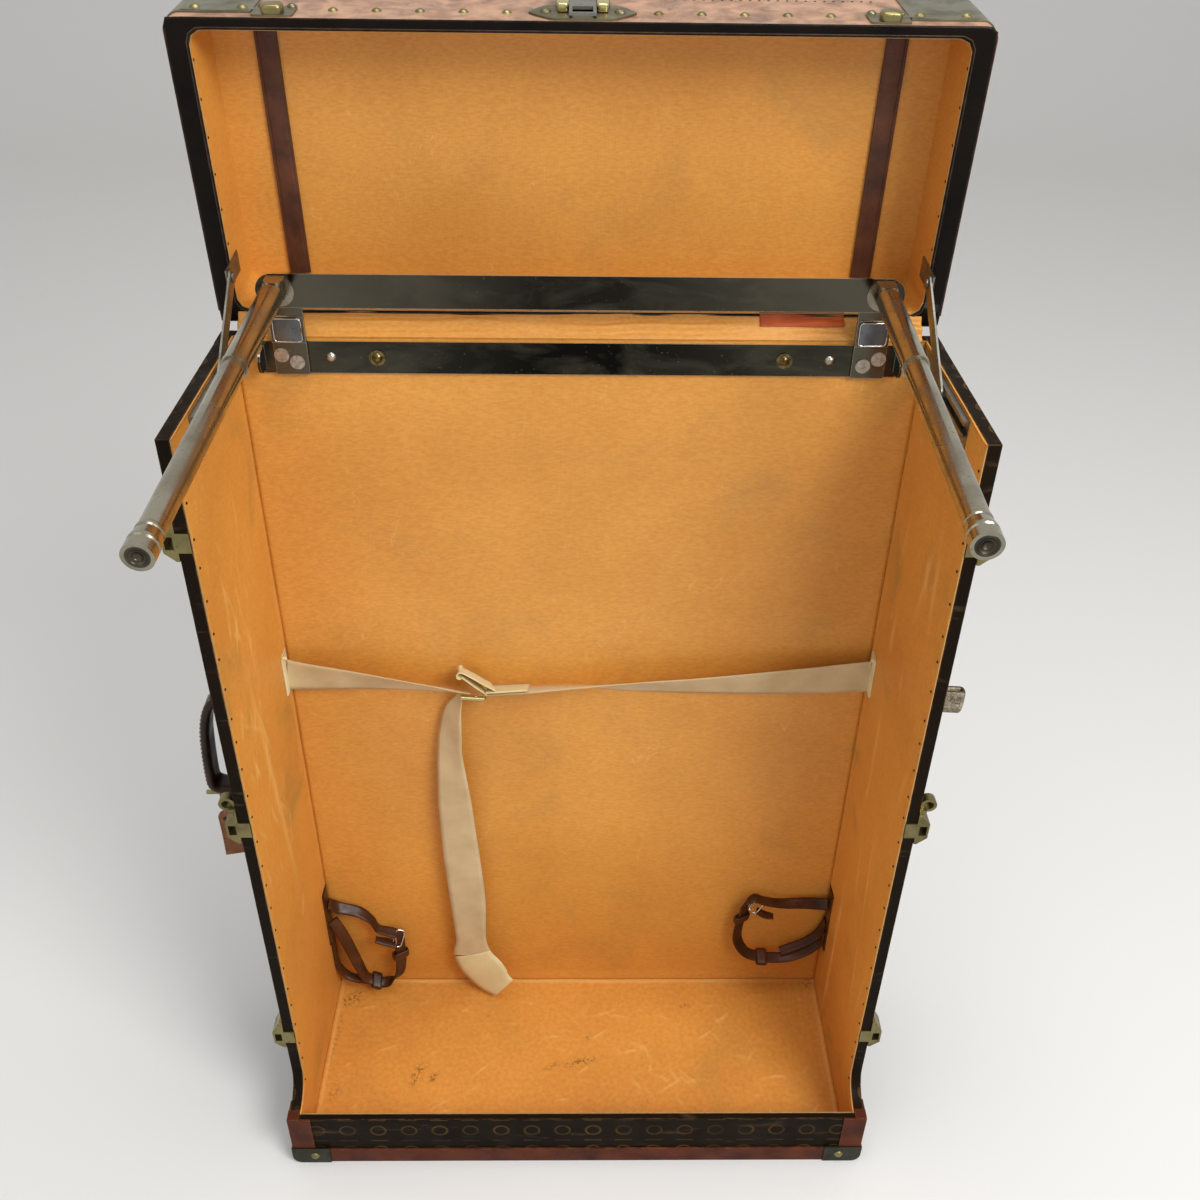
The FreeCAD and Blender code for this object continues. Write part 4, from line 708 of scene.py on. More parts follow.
def sideLining(name, sign, marks, seed):
    # A side wall's cloth: a grid of rows up the wall, each from the front edge to the back corner.
    low = np.linspace(lining["floor"] - 0.0008, lining["lip"], 24)
    z = np.concatenate([low, np.linspace(0.0703, lining["rim"], 350)])
    t = np.linspace(0, 1, 96)
    front = frontEdge(z)[:, None]
    y = front + (lining["back"] - front) * t
    z = np.repeat(z[:, None], len(t), axis=1)
    ridge = creases(y, z, marks)
    edge = np.clip((y - front) / 0.006, 0, 1)
    rise = lining["stand"] + (ridge + swell(y, z, seed, 0.0003) + 0.0003) * edge
    inner = np.stack([sign * (lining["side"] - rise), y, z], axis=-1)
    outer = xyz(sign * (lining["side"] + lining["under"]), y, z)
    made = piece(name, slab(inner, outer), "sideCloth", "trunk")
    keepPerPoint(made, rubbedRidges(ridge))
    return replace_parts(made, "side_linings")


def rubbedRidges(ridge):
    # How rubbed a crease is: nothing on the flat, all of it on ridges of half a millimetre and more.
    return np.clip(ridge / 0.0005, 0, 1) ** 1.6


def keepPerPoint(made, values, name="rubbed"):
    # Keep how rubbed or darkened each point of the face is, for the cloth's material; its back has none.
    values = np.concatenate([values, 0 * values], axis=1).ravel()
    made.data.attributes.new(name, "FLOAT", "POINT").data.foreach_set("value", values.astype(np.float32))


def makeLinings():
    left = np.vstack([
        chanceMarks(
            3, 56, (-0.06, 0.03), (0.32, 0.68), (55, 130), (0.010, 0.040), (0.0012, 0.0024), (0.0002, 0.0006)
        ),
        chanceMarks(
            4, 16, (-0.06, 0.02), (0.12, 0.34), (40, 140), (0.008, 0.024), (0.0012, 0.0022), (0.0002, 0.0004)
        ),
        [(-0.02, 0.59, 62, 0.05, 0.0016, 0.0005), (0.0, 0.47, 108, 0.05, 0.0016, 0.0005)],
        [(0.0, 0.40, 96, 0.30, 0.006, 0.0005), (0.094, 0.40, 90, 0.9, 0.005, 0.0003)],
    ])
    right = np.vstack([
        chanceMarks(
            5, 16, (-0.06, 0.06), (0.15, 0.7), (70, 110), (0.03, 0.10), (0.002, 0.005), (0.0002, 0.0005)
        ),
        [(0.094, 0.40, 90, 0.9, 0.005, 0.0003), (0.05, 0.12, 90, 0.2, 0.004, 0.0008)],
    ])
    sideLining("liningLeft", -1, left, 11)
    sideLining("liningRight", 1, right, 12)
    x, z = np.meshgrid(np.linspace(-0.2692, 0.2692, 150), np.linspace(0.0122, lining["rim"], 190))
    marks = [
        (-0.262, 0.4, 90, 1.0, 0.004, 0.0004), (0.262, 0.4, 90, 1.0, 0.004, 0.0004),
        (0.0, 0.018, 0, 1.2, 0.004, 0.0012), (-0.2, 0.25, 80, 0.2, 0.006, 0.0005),
    ]
    rise = lining["stand"] + creases(x, z, marks) + swell(x, z, 13, 0.0004) + 0.0004
    front = np.stack([x, lining["back"] - rise, z], axis=-1)
    rear = xyz(x, lining["back"] + lining["under"], z)
    back = piece("liningBack", slab(front, rear), "wallCloth", "trunk")
    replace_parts(back, "back_lining")
    x, y = np.meshgrid(np.linspace(-0.2692, 0.2692, 250), np.linspace(lining["lipIn"] + 0.001, 0.0994, 100))
    marks = np.vstack([
        chanceMarks(
            7, 60, (-0.25, 0.25), (-0.09, 0.08), (-25, 60), (0.006, 0.03), (0.0011, 0.002), (0.0002, 0.0006)
        ),
        chanceMarks(
            8, 20, (0.02, 0.24), (-0.08, 0.06), (95, 150), (0.01, 0.035), (0.0010, 0.0018), (0.0002, 0.0006)
        ),
        [(0.0, 0.0965, 0, 1.2, 0.0016, 0.0008), (0.2655, 0.0, 90, 0.3, 0.002, 0.0005)],
        [(-0.2655, 0.0, 90, 0.3, 0.002, 0.0005)],
    ])
    ridge = creases(x, y, marks)
    rise = lining["stand"] + ridge + swell(x, y, 14, 0.0004) + 0.0004
    top = np.stack([x, y, lining["floor"] + rise], axis=-1)
    base = xyz(x, y, lining["floor"] - lining["under"])
    floor = piece("liningFloor", slab(top, base), "floorCloth", "trunk")
    keepPerPoint(floor, rubbedRidges(ridge))
    # Dark marks on the floor, with a line along the left wall's foot and marks in the back corners; the one
    # at (-0.10, 0.050) is a painted shadow of the web strap's tip.
    floorMarks = [  # x, y, angle, length, width, strength
        (-0.169, -0.023, 62, 0.024, 0.0045, 1.0), (-0.151, -0.026, 80, 0.012, 0.0035, 0.9),
        (-0.027, -0.013, 15, 0.014, 0.0030, 0.8), (0.003, -0.007, 20, 0.030, 0.0040, 1.0),
        (0.010, 0.022, 70, 0.010, 0.0025, 0.7), (0.119, 0.061, 5, 0.012, 0.0025, 0.7),
        (-0.251, 0.074, 25, 0.022, 0.0070, 1.0), (-0.255, -0.040, 85, 0.020, 0.0040, 0.8),
        (0.262, 0.095, 60, 0.016, 0.0060, 0.9), (-0.262, 0.030, 88, 0.10, 0.0025, 0.5),
        (0.07, -0.055, 40, 0.010, 0.002, 0.5), (-0.10, 0.050, 30, 0.008, 0.002, 0.5),
    ]
    keepPerPoint(floor, np.clip(creases(x, y, floorMarks) * 1.6, 0, 1), "darkMarks")
    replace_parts(floor, "floor_lining")
    x, z = np.meshgrid(np.linspace(-0.2694, 0.2694, 150), np.linspace(0.0112, lining["lip"] - 0.0002, 16))
    rise = 0.001 + creases(x, z, [(0, 0.064, 0, 1.2, 0.003, 0.0006)]) + swell(x, z, 15, 0.0002)
    inner = np.stack([x, lining["lipIn"] + rise, z], axis=-1)
    outer = xyz(x, lining["lipIn"] + 0.0001, z)
    lip = piece("liningLip", slab(inner, outer), "wallCloth", "trunk")
    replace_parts(lip, "floor_lining")


makeLinings()
print("linings made")

gusset = {"half": 0.266, "foot": (0.0992, 0.7838), "head": (0.1180, 0.8024), "label": (0.139, 0.205)}


def gussetSheet(x, s, lift=0.0):
    # The cloth from the back's lining to the lid's: a line from foot to head, with three soft folds
    # whose depth and place wander along x. lift raises it square to that line.
    foot, head = np.array(gusset["foot"]), np.array(gusset["head"])
    along = (head - foot) / np.linalg.norm(head - foot)
    off = np.array([-along[1], along[0]])
    drift = 0.5 * np.sin(x * 21 + 1) + 0.35 * np.sin(x * 47 + 2) + 0.2 * np.sin(x * 96)
    depth = 0.0011 * (1 + 0.5 * np.sin(x * 33) + 0.3 * np.sin(x * 71 + 1))
    fold = depth * np.sin(math.pi * s) * np.sin(2 * math.pi * (2.6 * s + 0.28 * drift))
    bulge = (0.0016 * np.sin(math.pi * s) + fold + lift)[..., None]
    path = foot + (head - foot) * s[..., None] + off * bulge
    return np.stack([x, path[..., 0], path[..., 1]], axis=-1)


def makeGusset():
    x, s = np.meshgrid(np.linspace(-gusset["half"], gusset["half"], 300), np.linspace(0, 1, 26))
    shape = slab(gussetSheet(x, s, 0.0003), gussetSheet(x, s, -0.0003))
    made = piece("lidGusset", shape, "wallCloth", None)
    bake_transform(made)
    x, s = np.meshgrid(np.linspace(*gusset["label"], 50), np.linspace(0.46, 0.93, 12))
    shape = slab(gussetSheet(x, s, 0.0013), gussetSheet(x, s, 0.0004))
    label = piece("lidLabel", shape, "labelLeather", None)
    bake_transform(label)


makeGusset()
print("gusset made")


def between(left, right, thickness, cup, count):
    # A strap whose two edges follow two lines of stops, given in millimetres.
    both = flow(np.hstack([left, right]) * mm, count)
    first, second = both[:, :3], both[:, 3:]
    width = np.linalg.norm(second - first, axis=1)
    return ribbon((first + second) / 2, second - first, width, thickness, cup)


def leaning(stops, thickness, cup=0.0, count=120):
    # A strap through stops (x, y, z in millimetres, lean in degrees from upright, width): the upper edge
    # leans towards the open front.
    line = flow(np.asarray(stops, float) * [mm, mm, mm, math.pi / 180, mm], count)
    across = xyz(0, -np.sin(line[:, 3]), np.cos(line[:, 3]))
    return ribbon(line[:, :3], across, line[:, 4], thickness, cup)


def squircle(width, height, count, power=0.45):
    # A closed outline between an oval and a rectangle.
    angle = np.arange(count) * 2 * math.pi / count
    ways = ((np.cos(angle), width), (np.sin(angle), height))
    return np.stack([np.sign(way) * np.abs(way) ** power * size / 2 for way, size in ways], axis=1)


def wireLoop(centre, across, up, width, height, radius, power=0.45):
    # A bent wire frame: a tube round a squircle in the plane of across and up.
    across, up = unit(across), unit(up)
    outline = squircle(width, height, 48, power)
    spine = np.array(centre) + outline[:, :1] * across + outline[:, 1:] * up
    return tube(spine, radius, 8, up=np.cross(across, up), closed=True)


def bar(start, end, radius, sides=8):
    line = np.linspace(start, end, 6)
    up = (0, 0, 1) if abs(end[2] - start[2]) < 0.8 * math.dist(start, end) else (0, 1, 0)
    return tube(line, radius, sides, up=up)


webStrap = {"thickness": 0.0015, "cup": 0.0012}


def makeWeb():
    # The cotton strap across the back: two ends that lean over as they near the buckle, and a hanging tail.
    thick = webStrap["thickness"]
    left = [
        (-267.9, 86.7, 463.5, 0, 35), (-252, 86.5, 461.5, 8, 34.5), (-192, 86, 456, 28, 32),
        (-132, 86, 447.5, 44, 27), (-112, 86, 443.5, 49, 20), (-101, 86, 442, 50, 16),
    ]
    shape = leaning(left, thick, webStrap["cup"])
    made = piece("webLeft", shape, "webbing", "trunk")
    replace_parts(made, "web_strap_left", "strap_anchors")
    right = [
        (-89, 86, 442.6, 66, 18), (-66, 86, 445, 66, 21), (-46, 86, 446.5, 63, 24), (-9, 86, 449.5, 56, 27),
        (52, 86, 451, 38, 31), (113, 86, 452.8, 28, 33.5), (204, 86.5, 457.5, 11, 35),
        (267.9, 86.7, 463.3, 0, 35),
    ]
    shape = leaning(right, thick, webStrap["cup"], 200)
    made = piece("webRight", shape, "webbing", "trunk")
    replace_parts(made, "web_strap_right")
    lap = [
        (-86, 84.5, 447.5, 66, 27), (-72, 84.5, 448.4, 66, 27), (-58, 84.5, 449.4, 65, 27),
        (-46.8, 84.5, 450.2, 65, 26),
    ]
    piece("webLap", leaning(lap, thick, count=40), "litWebbing", "trunk")
    loop = [
        (-88, 82.5, 448), (-97, 82, 456.5), (-105.5, 81.5, 465), (-109.8, 81.5, 469), (-109.2, 81.5, 471.6),
        (-105.5, 81.5, 471), (-97, 82, 465), (-88, 83, 457.5), (-80, 84, 451),
    ]
    spine = flow(np.array(loop) * mm, 90)
    across = (-0.05, 0.9, -0.42)  # nearly edge-on from the front
    piece("webLoop", ribbon(spine, across, 0.022, 0.0014), "litWebbing", "trunk")
    edgeLeft = [
        (-112, 88, 440), (-127, 91.5, 419), (-133.5, 92.5, 393), (-136.3, 90, 369), (-139.6, 87, 310),
        (-139.2, 85, 250), (-138.3, 84.5, 214), (-135.5, 84, 160), (-132.6, 84, 105), (-130, 84, 70),
        (-129, 84, 58),
    ]
    edgeRight = [
        (-108, 82, 440), (-110, 78, 419), (-111, 77, 393), (-111.6, 79, 369), (-106.7, 81.5, 310),
        (-103.2, 83.5, 250), (-101, 84, 214), (-98.8, 83.7, 165), (-100.6, 82.5, 112), (-101.8, 81.8, 98),
        (-102.2, 81.5, 92),
    ]
    tail = between(edgeLeft, edgeRight, thick, 0.0008, 180)
    made = piece("webTail", tail, "webbing", "trunk")
    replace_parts(made, "web_tail")
    flapLeft = [(-130.2, 83, 60), (-127, 82, 50), (-118, 80.5, 33), (-104.5, 76.5, 19.5), (-84.5, 69.5, 13.4)]
    flapRight = [(-102.5, 80.4, 94), (-98.5, 79.6, 86), (-92, 78, 76), (-85, 75.5, 62), (-81.8, 73.5, 51)]
    flap = between(flapLeft, flapRight, thick, -0.0015, 60)
    piece("webTip", flap, "litWebbing", "trunk")
    frame = joined(
        wireLoop((-0.0982, 0.0805, 0.4415), (1, 0, -0.06), (0, -0.80, 0.6), 0.0235, 0.015, 0.0012),
        bar((-0.1090, 0.0738, 0.4462), (-0.0875, 0.0738, 0.4447), 0.0022),
        bar((-0.0965, 0.0865, 0.4375), (-0.0950, 0.0740, 0.4475), 0.0009),
    )
    made = piece("webBuckle", frame, "brightBrass", "trunk", turn=50)
    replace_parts(made, "strap_buckles")
    tabs = []
    for sign in (-1, 1):
        z = np.linspace(0.4435, 0.4868, 30)
        spine = xyz(sign * 0.2684, 0.0868, z)
        tabs.append(ribbon(spine, (0.0, 1.0, 0.0), 0.017, 0.002)[:2])
        loop = [(0.268, 0.081, 0.482), (0.2668, 0.080, 0.4868), (0.2645, 0.0805, 0.4855)]
        spine = flow(np.array(loop) * [sign, 1, 1], 20)
        tabs.append(tube(spine, 0.0016, 8, up=(0, 1, 0)))
    made = piece("webTabs", joined(*tabs), "litWebbing", "trunk")
    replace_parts(made, "strap_anchors")


makeWeb()
print("web strap made")

bootLoop = {"thickness": 0.0026, "narrow": 0.84}


def strand(rows, thickness=bootLoop["thickness"], count=70):
    # A leather strap through rows (x, y, z, then the direction across it, then its width), millimetres.
    line = flow(np.asarray(rows, float) * [mm, mm, mm, 1, 1, 1, mm], count)
    return ribbon(line[:, :3], line[:, 3:6], line[:, 6] * bootLoop["narrow"], thickness, 0.0005, 9)


def keeperLoop(centre, along, across, width, height, length):
    # A small leather loop round a strap: a band bent to a squircle, its width lying along the strap.
    along, across = unit(along), unit(across)
    out = np.cross(along, across)
    outline = squircle(width * mm, height * mm, 36)
    spine = np.array(centre) * mm + outline[:, :1] * across + outline[:, 1:] * out
    spine = np.vstack([spine, spine[:2] + out * 0.0002])
    return ribbon(spine, along, length * mm, 0.0015)[:2]


def bootLoops():
    leftMain = [
        (-266, 88, 152, 0, 1, 0.2, 15), (-256, 91, 142, 0, 0.7, 0.6, 15), (-236, 92, 134, 0, 0.8, 0.5, 14),
        (-223, 90, 123, 0.2, 1, 0, 13), (-217, 89, 110.5, 0.1, 1, 0.1, 13), (-203, 88, 106, 0, 1, 0.25, 14),
        (-195.5, 87, 101.5, 0.5, 0.8, 0, 14), (-195, 86, 88, 0.8, 0.5, 0, 14),
        (-195.3, 85, 64, 0.85, 0.5, 0, 14), (-200, 84, 40, 0.7, 0.6, -0.3, 14),
        (-214, 83, 29, 0.1, 0.9, 0.5, 14), (-226, 82, 33, -0.1, 0.9, 0.4, 14),
        (-236, 81, 42, 0.3, 0.8, 0.4, 14), (-245, 81, 75, 0.75, 0.55, 0.2, 14.5),
        (-254, 83, 106, 0.8, 0.5, 0.3, 15), (-264, 86, 128, 0.75, 0.6, 0.3, 15),
    ]
    leftLower = [
        (-232, 83.5, 33, 0, 1, 0.2, 13), (-248, 85, 33, 0, 1, 0.2, 12), (-260, 87, 40, 0.2, 1, 0.1, 12),
        (-266.5, 88, 57, 0.1, 1, 0, 13), (-267, 88, 90, 0, 1, 0, 14), (-267.2, 88, 118, 0, 1, 0, 14),
    ]
    leftEnd = [(-197, 82, 94, 0.2, 1, 0, 12), (-208, 81, 99, 0, 1, 0.1, 12), (-219, 80, 104, 0, 1, 0.1, 10)]
    rightMain = [
        (267, 88, 150, 0, 0.6, 0.8, 15), (256, 90, 149.5, 0, 0.7, 0.7, 15),
        (236, 90, 150.5, 0, 0.8, 0.6, 14), (217, 89, 151.5, 0, 1, 0.2, 14), (199, 88, 156, 0, 1, 0.1, 14),
        (187, 87.5, 161, 0.1, 1, 0.1, 14), (178, 87, 154, 0.6, 0.8, 0.1, 14),
        (176, 86, 141, 0.85, 0.5, 0, 14), (173, 85, 123, 0.85, 0.5, 0, 14),
        (172, 84, 104, 0.85, 0.5, 0.1, 14), (177, 83.5, 88, 0.7, 0.6, 0.3, 14),
        (187, 83, 76.5, 0.3, 0.8, 0.4, 14), (205, 83, 71, 0, 0.9, 0.45, 14),
        (226, 83.5, 70, 0, 0.9, 0.45, 14), (246, 84.5, 77, -0.1, 0.9, 0.4, 14),
        (262, 86, 92, -0.4, 0.8, 0.3, 14), (267.2, 88, 112, 0, 1, 0, 14),
    ]
    rightLower = [
        (222, 87, 76, 0, 0.9, 0.4, 12), (238, 89, 82, 0, 0.9, 0.4, 12), (252, 90, 90, -0.2, 0.8, 0.4, 12),
        (263, 90, 104, -0.5, 0.8, 0.2, 12), (267, 89, 124, 0, 1, 0, 12),
    ]
    rightEnd = [(190, 83, 146, 0.2, 1, 0, 12), (199, 82, 141, 0, 1, 0.1, 12), (208, 81.5, 139, 0, 1, 0.1, 9)]
    for side, sign, main, lower, end in (
        ("Left", -1, leftMain, leftLower, leftEnd),
        ("Right", 1, rightMain, rightLower, rightEnd),
    ):
        made = piece("bootStrap" + side, strand(main, count=190), "strapLeather", "trunk")
        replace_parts(made, "boot_strap_" + side.lower(), "strap_anchors")
        extra = joined(strand(lower)[:2], strand(end, 0.0022, 30)[:2])
        piece("bootStrapLower" + side, extra, "strapLeather", "trunk")
        z = np.linspace(0.096, 0.172, 40) if side == "Left" else np.linspace(0.086, 0.172, 40)
        spine = xyz(sign * 0.2684, 0.0878, z)
        tab = ribbon(spine, (0.0, 1.0, 0.0), 0.018, 0.0022)[:2]
        rings = [
            keeperLoop((-224.5, 82.2, 32.5), (-1, 0, 0.45), (0, 0.9, 0.5), 17, 7.4, 10),
            keeperLoop((-195.2, 85.4, 74), (0, 0, 1), (0.85, 0.5, 0), 17, 6.4, 9),
        ] if side == "Left" else [
            keeperLoop((201, 83, 71.6), (1, 0, -0.1), (0, 0.9, 0.45), 17, 7.6, 11),
            keeperLoop((175, 85.6, 133), (0.1, 0, 1), (0.85, 0.5, 0), 17, 6.4, 9),
        ]
        piece("bootKeepers" + side, joined(tab, *rings), "strapLeather", "trunk")
        centre = (-0.1955, 0.0862, 0.0985) if side == "Left" else (0.1905, 0.0868, 0.1515)
        up = (0.25, 0.55, 0.75) if side == "Left" else (0.62, 0.45, 0.62)
        ring = wireLoop(centre, np.cross(up, (0.3 * sign, 1, -0.6)), up, 0.0095, 0.018, 0.0009)
        low = np.array(centre) - unit(up) * 0.0095
        prong = bar(tuple(low), tuple(low + np.array([0.001, -0.002, 0.016])), 0.0008)
        made = piece("bootBuckle" + side, joined(ring, prong), "chrome", "trunk", turn=50)
        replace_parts(made, "strap_buckles")


bootLoops()
print("boot straps made")


def stitch(length, radius):
    # One stitch lying along Z: a fine thread with tapered ends.
    shares = ((0.3, -0.5), (0.9, -0.34), (1, 0), (0.9, 0.34), (0.3, 0.5))
    return turnedShape([(radius * r, length * h) for r, h in shares], 6)


def dome(radius, height, sides):
    # A nail head: a quarter of an oval turned about its axis, with its foot just under the surface.
    rise = np.radians([0, 22, 45, 66, 86])
    profile = [(radius, -0.0003)] + [(radius * math.cos(a), height * math.sin(a)) for a in rise]
    return turnedShape(profile, sides)


def seam(line, pitch, length, radius, out):
    # Stitches evenly spaced along a line, lying along it; out is the way the surface faces.
    run = distances(line)
    at = np.arange(pitch / 2, run[-1], pitch)
    places = np.stack([np.interp(at, run, column) for column in line.T], axis=1)
    slope = np.gradient(line, axis=0)
    ahead = np.stack([np.interp(at, run, column) for column in slope.T], axis=1)
    return repeated(stitch(length, radius), places, unit(ahead), out)


def roundBlock(centre, size, power):
    # A block with soft edges: each ring of an oval ball is squared off by raising its sines to a power.
    lift = np.linspace(-math.pi / 2 + 0.02, math.pi / 2 - 0.02, 15)
    ring = squircle(2, 2, 24, power)
    spread = np.cos(lift) ** power
    level = np.sign(lift) * np.abs(np.sin(lift)) ** power
    flat = spread[:, None, None] * ring[None]
    up = np.repeat(level[:, None, None], 24, axis=1)
    return loft(np.concatenate([flat, up], axis=-1) * np.array(size) / 2 + np.array(centre))


grip = {"thick": 0.0078, "width": 0.0235, "stitch": 0.0046}


def makeHandle():
    # The left grip, a stitched leather strap bowed out between its two eyes.
    stops = [
        (-297, 509.6), (-303.5, 508.4), (-309.8, 501), (-314.4, 488.5), (-317, 476), (-318.4, 465),
        (-320, 445), (-321, 425), (-320.6, 414), (-316, 409.4), (-308, 408.2), (-297, 408),
    ]
    line = flow(np.array([(x, 0, z) for x, z in stops]) * mm, 110)
    share = np.linspace(0, 1, len(line))
    width = grip["width"] * (0.72 + 0.28 * np.sin(math.pi * share) ** 0.5)
    across = np.array([0.0, 1.0, 0.0])
    body = ribbon(line, across, width, grip["thick"], samples=13)
    made = piece("handleGrip", body, "darkLeather", "left_handle")
    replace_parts(made, "left_handle_grip")
    tangent = unit(np.gradient(line, axis=0))
    out = np.cross(tangent, across)
    out = out * np.sign(-out[len(out) // 2, 0])
    rows = []
    for edge in (-1, 1):
        row = line + across * (edge * (width / 2 - 0.0026))[:, None] + out * grip["thick"] * 0.475
        rows.append(seam(row[6:-6], grip["stitch"], 0.0032, 0.00042, (-1, 0, 0.05)))
    for edge in (-1, 1):  # the pointed seam that closes the grip's lower end
        t = np.linspace(0, 1, 20)[:, None]
        tip = line[-30] + out[-30] * grip["thick"] * 0.48
        foot = line[-12] + np.array([0, edge * 0.0075, 0]) + out[-12] * grip["thick"] * 0.48
        rows.append(seam(tip + (foot - tip) * t, 0.0036, 0.0026, 0.0004, (-1, 0, 0.05)))
    piece("gripStitching", joined(*rows), "threadPale", "left_handle")


tag = {
    "x": -0.3145,
    "top": 0.376,
    "foot": 0.3205,
    "half": 0.0108,
    "thick": 0.0028,
    "rod": 0.3988,  # height of the rod it hangs on
    "loop": 0.0031,  # radius of its loop over the rod
}


def makeTag():
    # A leather label with round shoulders and a slanting foot, hung by a doubled loop over the rod.
    c, t = np.meshgrid(np.linspace(-1, 1, 17), np.linspace(0, 1, 40))
    half = tag["half"] * (1 - np.clip((t - 0.86) / 0.14, 0, 1) ** 2.2 * 0.55) * (1 - 0.06 * t)
    foot = tag["foot"] + 0.0045 * (c + 1) / 2
    z = foot + (tag["top"] - foot) * t
    bow = 0.0012 * np.sin(math.pi * t) + 0.0006 * c * t
    front = np.stack([tag["x"] + c * half, bow - tag["thick"] / 2, z], axis=-1)
    leaf = slab(front, front + [0, tag["thick"], 0])
    turn = np.linspace(-0.5 * math.pi, 1.5 * math.pi, 30)[2:-2] + math.pi
    ring = xyz(0, tag["loop"] * np.cos(turn + math.pi / 2), tag["loop"] * np.sin(turn + math.pi / 2))
    ring = ring + [tag["x"], 0, tag["rod"]]
    legs = [np.array([[tag["x"], s * 0.0021, 0.3715], [tag["x"], s * 0.0019, 0.384]]) for s in (1, -1)]
    line = flow(np.vstack([legs[0], ring[::-1], legs[1][::-1]]), 70)
    loop = ribbon(line, (1.0, 0.0, 0.0), 0.0078, 0.0017)
    made = piece("tagLeaf", joined(leaf, loop[:2]), "tagLeather", "luggage_tag")
    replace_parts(made, "luggage_tag")
    place = np.array([[tag["x"] - 0.0042, -0.0013, 0.3665]])
    hole = repeated(dome(0.0021, 0.0004, 12), place, (0, -1, 0), (1, 0, 0))
    edge = np.stack([front[3:-4, 1], front[3:-4, -2]])
    rows = [seam(line + [0, -0.0001, 0], 0.0044, 0.0028, 0.0003, (0, -1, 0)) for line in edge]
    piece("tagDetails", joined(hole, *rows), "threadDark", "luggage_tag")


tab = {"z": 0.508, "width": 0.0222, "thick": 0.0040, "droop": 0.0012, "seam": 0.0085}


def tabDroop(x):
    return tab["droop"] * ((x - 0.28) / 0.04) ** 2


def makeTab():
    # The stout tab on the right side: a thick strap folded back on itself, with stitches round it.
    turn = np.linspace(-math.pi / 2, math.pi / 2, 14)
    bend = np.stack([0.3196 + 0.0027 * np.cos(turn), 0.0033 * np.sin(turn)], axis=1)
    x = np.linspace(0.2818, 0.317, 24)
    near = np.stack([x, 0 * x - 0.0033], axis=1)
    path = np.vstack([near, bend, near[::-1] * [1, -1]])
    line = flow(xyz(path[:, 0], path[:, 1], 0.508)[::2], 90)
    line[:, 2] -= tabDroop(line[:, 0])
    across = (0.0, 0.0, 1.0)
    body = ribbon(line, across, tab["width"], tab["thick"], samples=13)
    made = piece("sideTab", body, "tabLeather", "trunk")
    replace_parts(made, "right_strap_tab")
    rows = []
    for face in (-1, 1):
        for edge in (-1, 1):
            along = np.linspace(0.2845, 0.3165, 20)
            row = xyz(along, face * 0.0053, tab["z"] + edge * tab["seam"] - tabDroop(along))
            rows.append(seam(row, 0.0043, 0.003, 0.0004, (0, face, 0)))
    piece("tabStitching", joined(*rows), "threadPale", "trunk")


makeHandle()
makeTag()
makeTab()
print("handle, tag and tab made")

tacks = {
    "radius": 0.0011,
    "height": 0.0006,
    "pitch": 0.0272,
    "inset": 0.0032,
    "lidPitch": 0.0262,
    "lidZ": 0.7913,
}
lidRim = {
    "side": 0.2655,
    "front": -0.10325,
    "back": 0.09975,
    "z": 0.7880,
    "round": 0.010,
    "crown": 0.0007,
    "outer": (0.2811, 0.1105),  # half width and half depth of the band's outer edge
}


def rimLine():
    # The lid lining's mouth on the closed lid: a rectangle with round corners.
    half = [lidRim["side"], (lidRim["back"] - lidRim["front"]) / 2]
    middle = (lidRim["back"] + lidRim["front"]) / 2
    bend = lidRim["round"]
    corners = []
    for i, (sx, sy) in enumerate(((1, 1), (-1, 1), (-1, -1), (1, -1))):
        angle = np.linspace(i * math.pi / 2, (i + 1) * math.pi / 2, 9)
        x = sx * (half[0] - bend) + bend * np.cos(angle)
        y = middle + sy * (half[1] - bend) + bend * np.sin(angle)
        corners.append(xyz(x, y, lidRim["z"]))
    closed = np.vstack([*corners, corners[0][:1]])
    run = distances(closed)
    even = np.linspace(0, run[-1], 220, endpoint=False)
    return np.stack([np.interp(even, run, column) for column in closed.T], axis=1)


def makeRimBand():
    # The dark leather that binds the lid's rim: a low crown from the lining's mouth to the outer edge.
    inner = rimLine()
    middle = np.array([0, (lidRim["front"] + lidRim["back"]) / 2])
    away = inner[:, :2] - middle
    wide, deep = lidRim["outer"]
    grow = 1 / np.maximum(np.abs(away[:, 0]) / wide, np.abs(away[:, 1] + middle[1] + 0.0008) / deep)
    corner = np.abs(away[:, 0] / 0.2655) ** 12 + np.abs(away[:, 1] / 0.1015) ** 12
    outer = middle + away * grow[:, None] * (1 - 0.004 * np.clip(corner - 1, 0, 1))[:, None]
    t = np.linspace(0, 1, 9)[None, :, None]
    flat = inner[:, None, :2] + (outer - inner[:, :2])[:, None] * t
    lift = lidRim["crown"] * np.sin(math.pi * t[..., 0]) ** 0.6 + 0.0002
    crown = xyz(flat[..., 0], flat[..., 1], lidRim["z"] - lift)
    under = xyz(flat[:, ::-1, 0], flat[:, ::-1, 1], lidRim["z"] + 0.0002)
    rings = np.concatenate([crown, under], axis=1)
    lidPiece("lidRimBand", loft(np.concatenate([rings, rings[:1]])), "rimBand")
    line = inner + xyz(np.sign(away[:, 0]) * 0.0016, np.sign(away[:, 1]) * 0.0016, -0.0007)
    lidPiece("lidPiping", tube(line, 0.0005, 6, closed=True), "darkLeather")


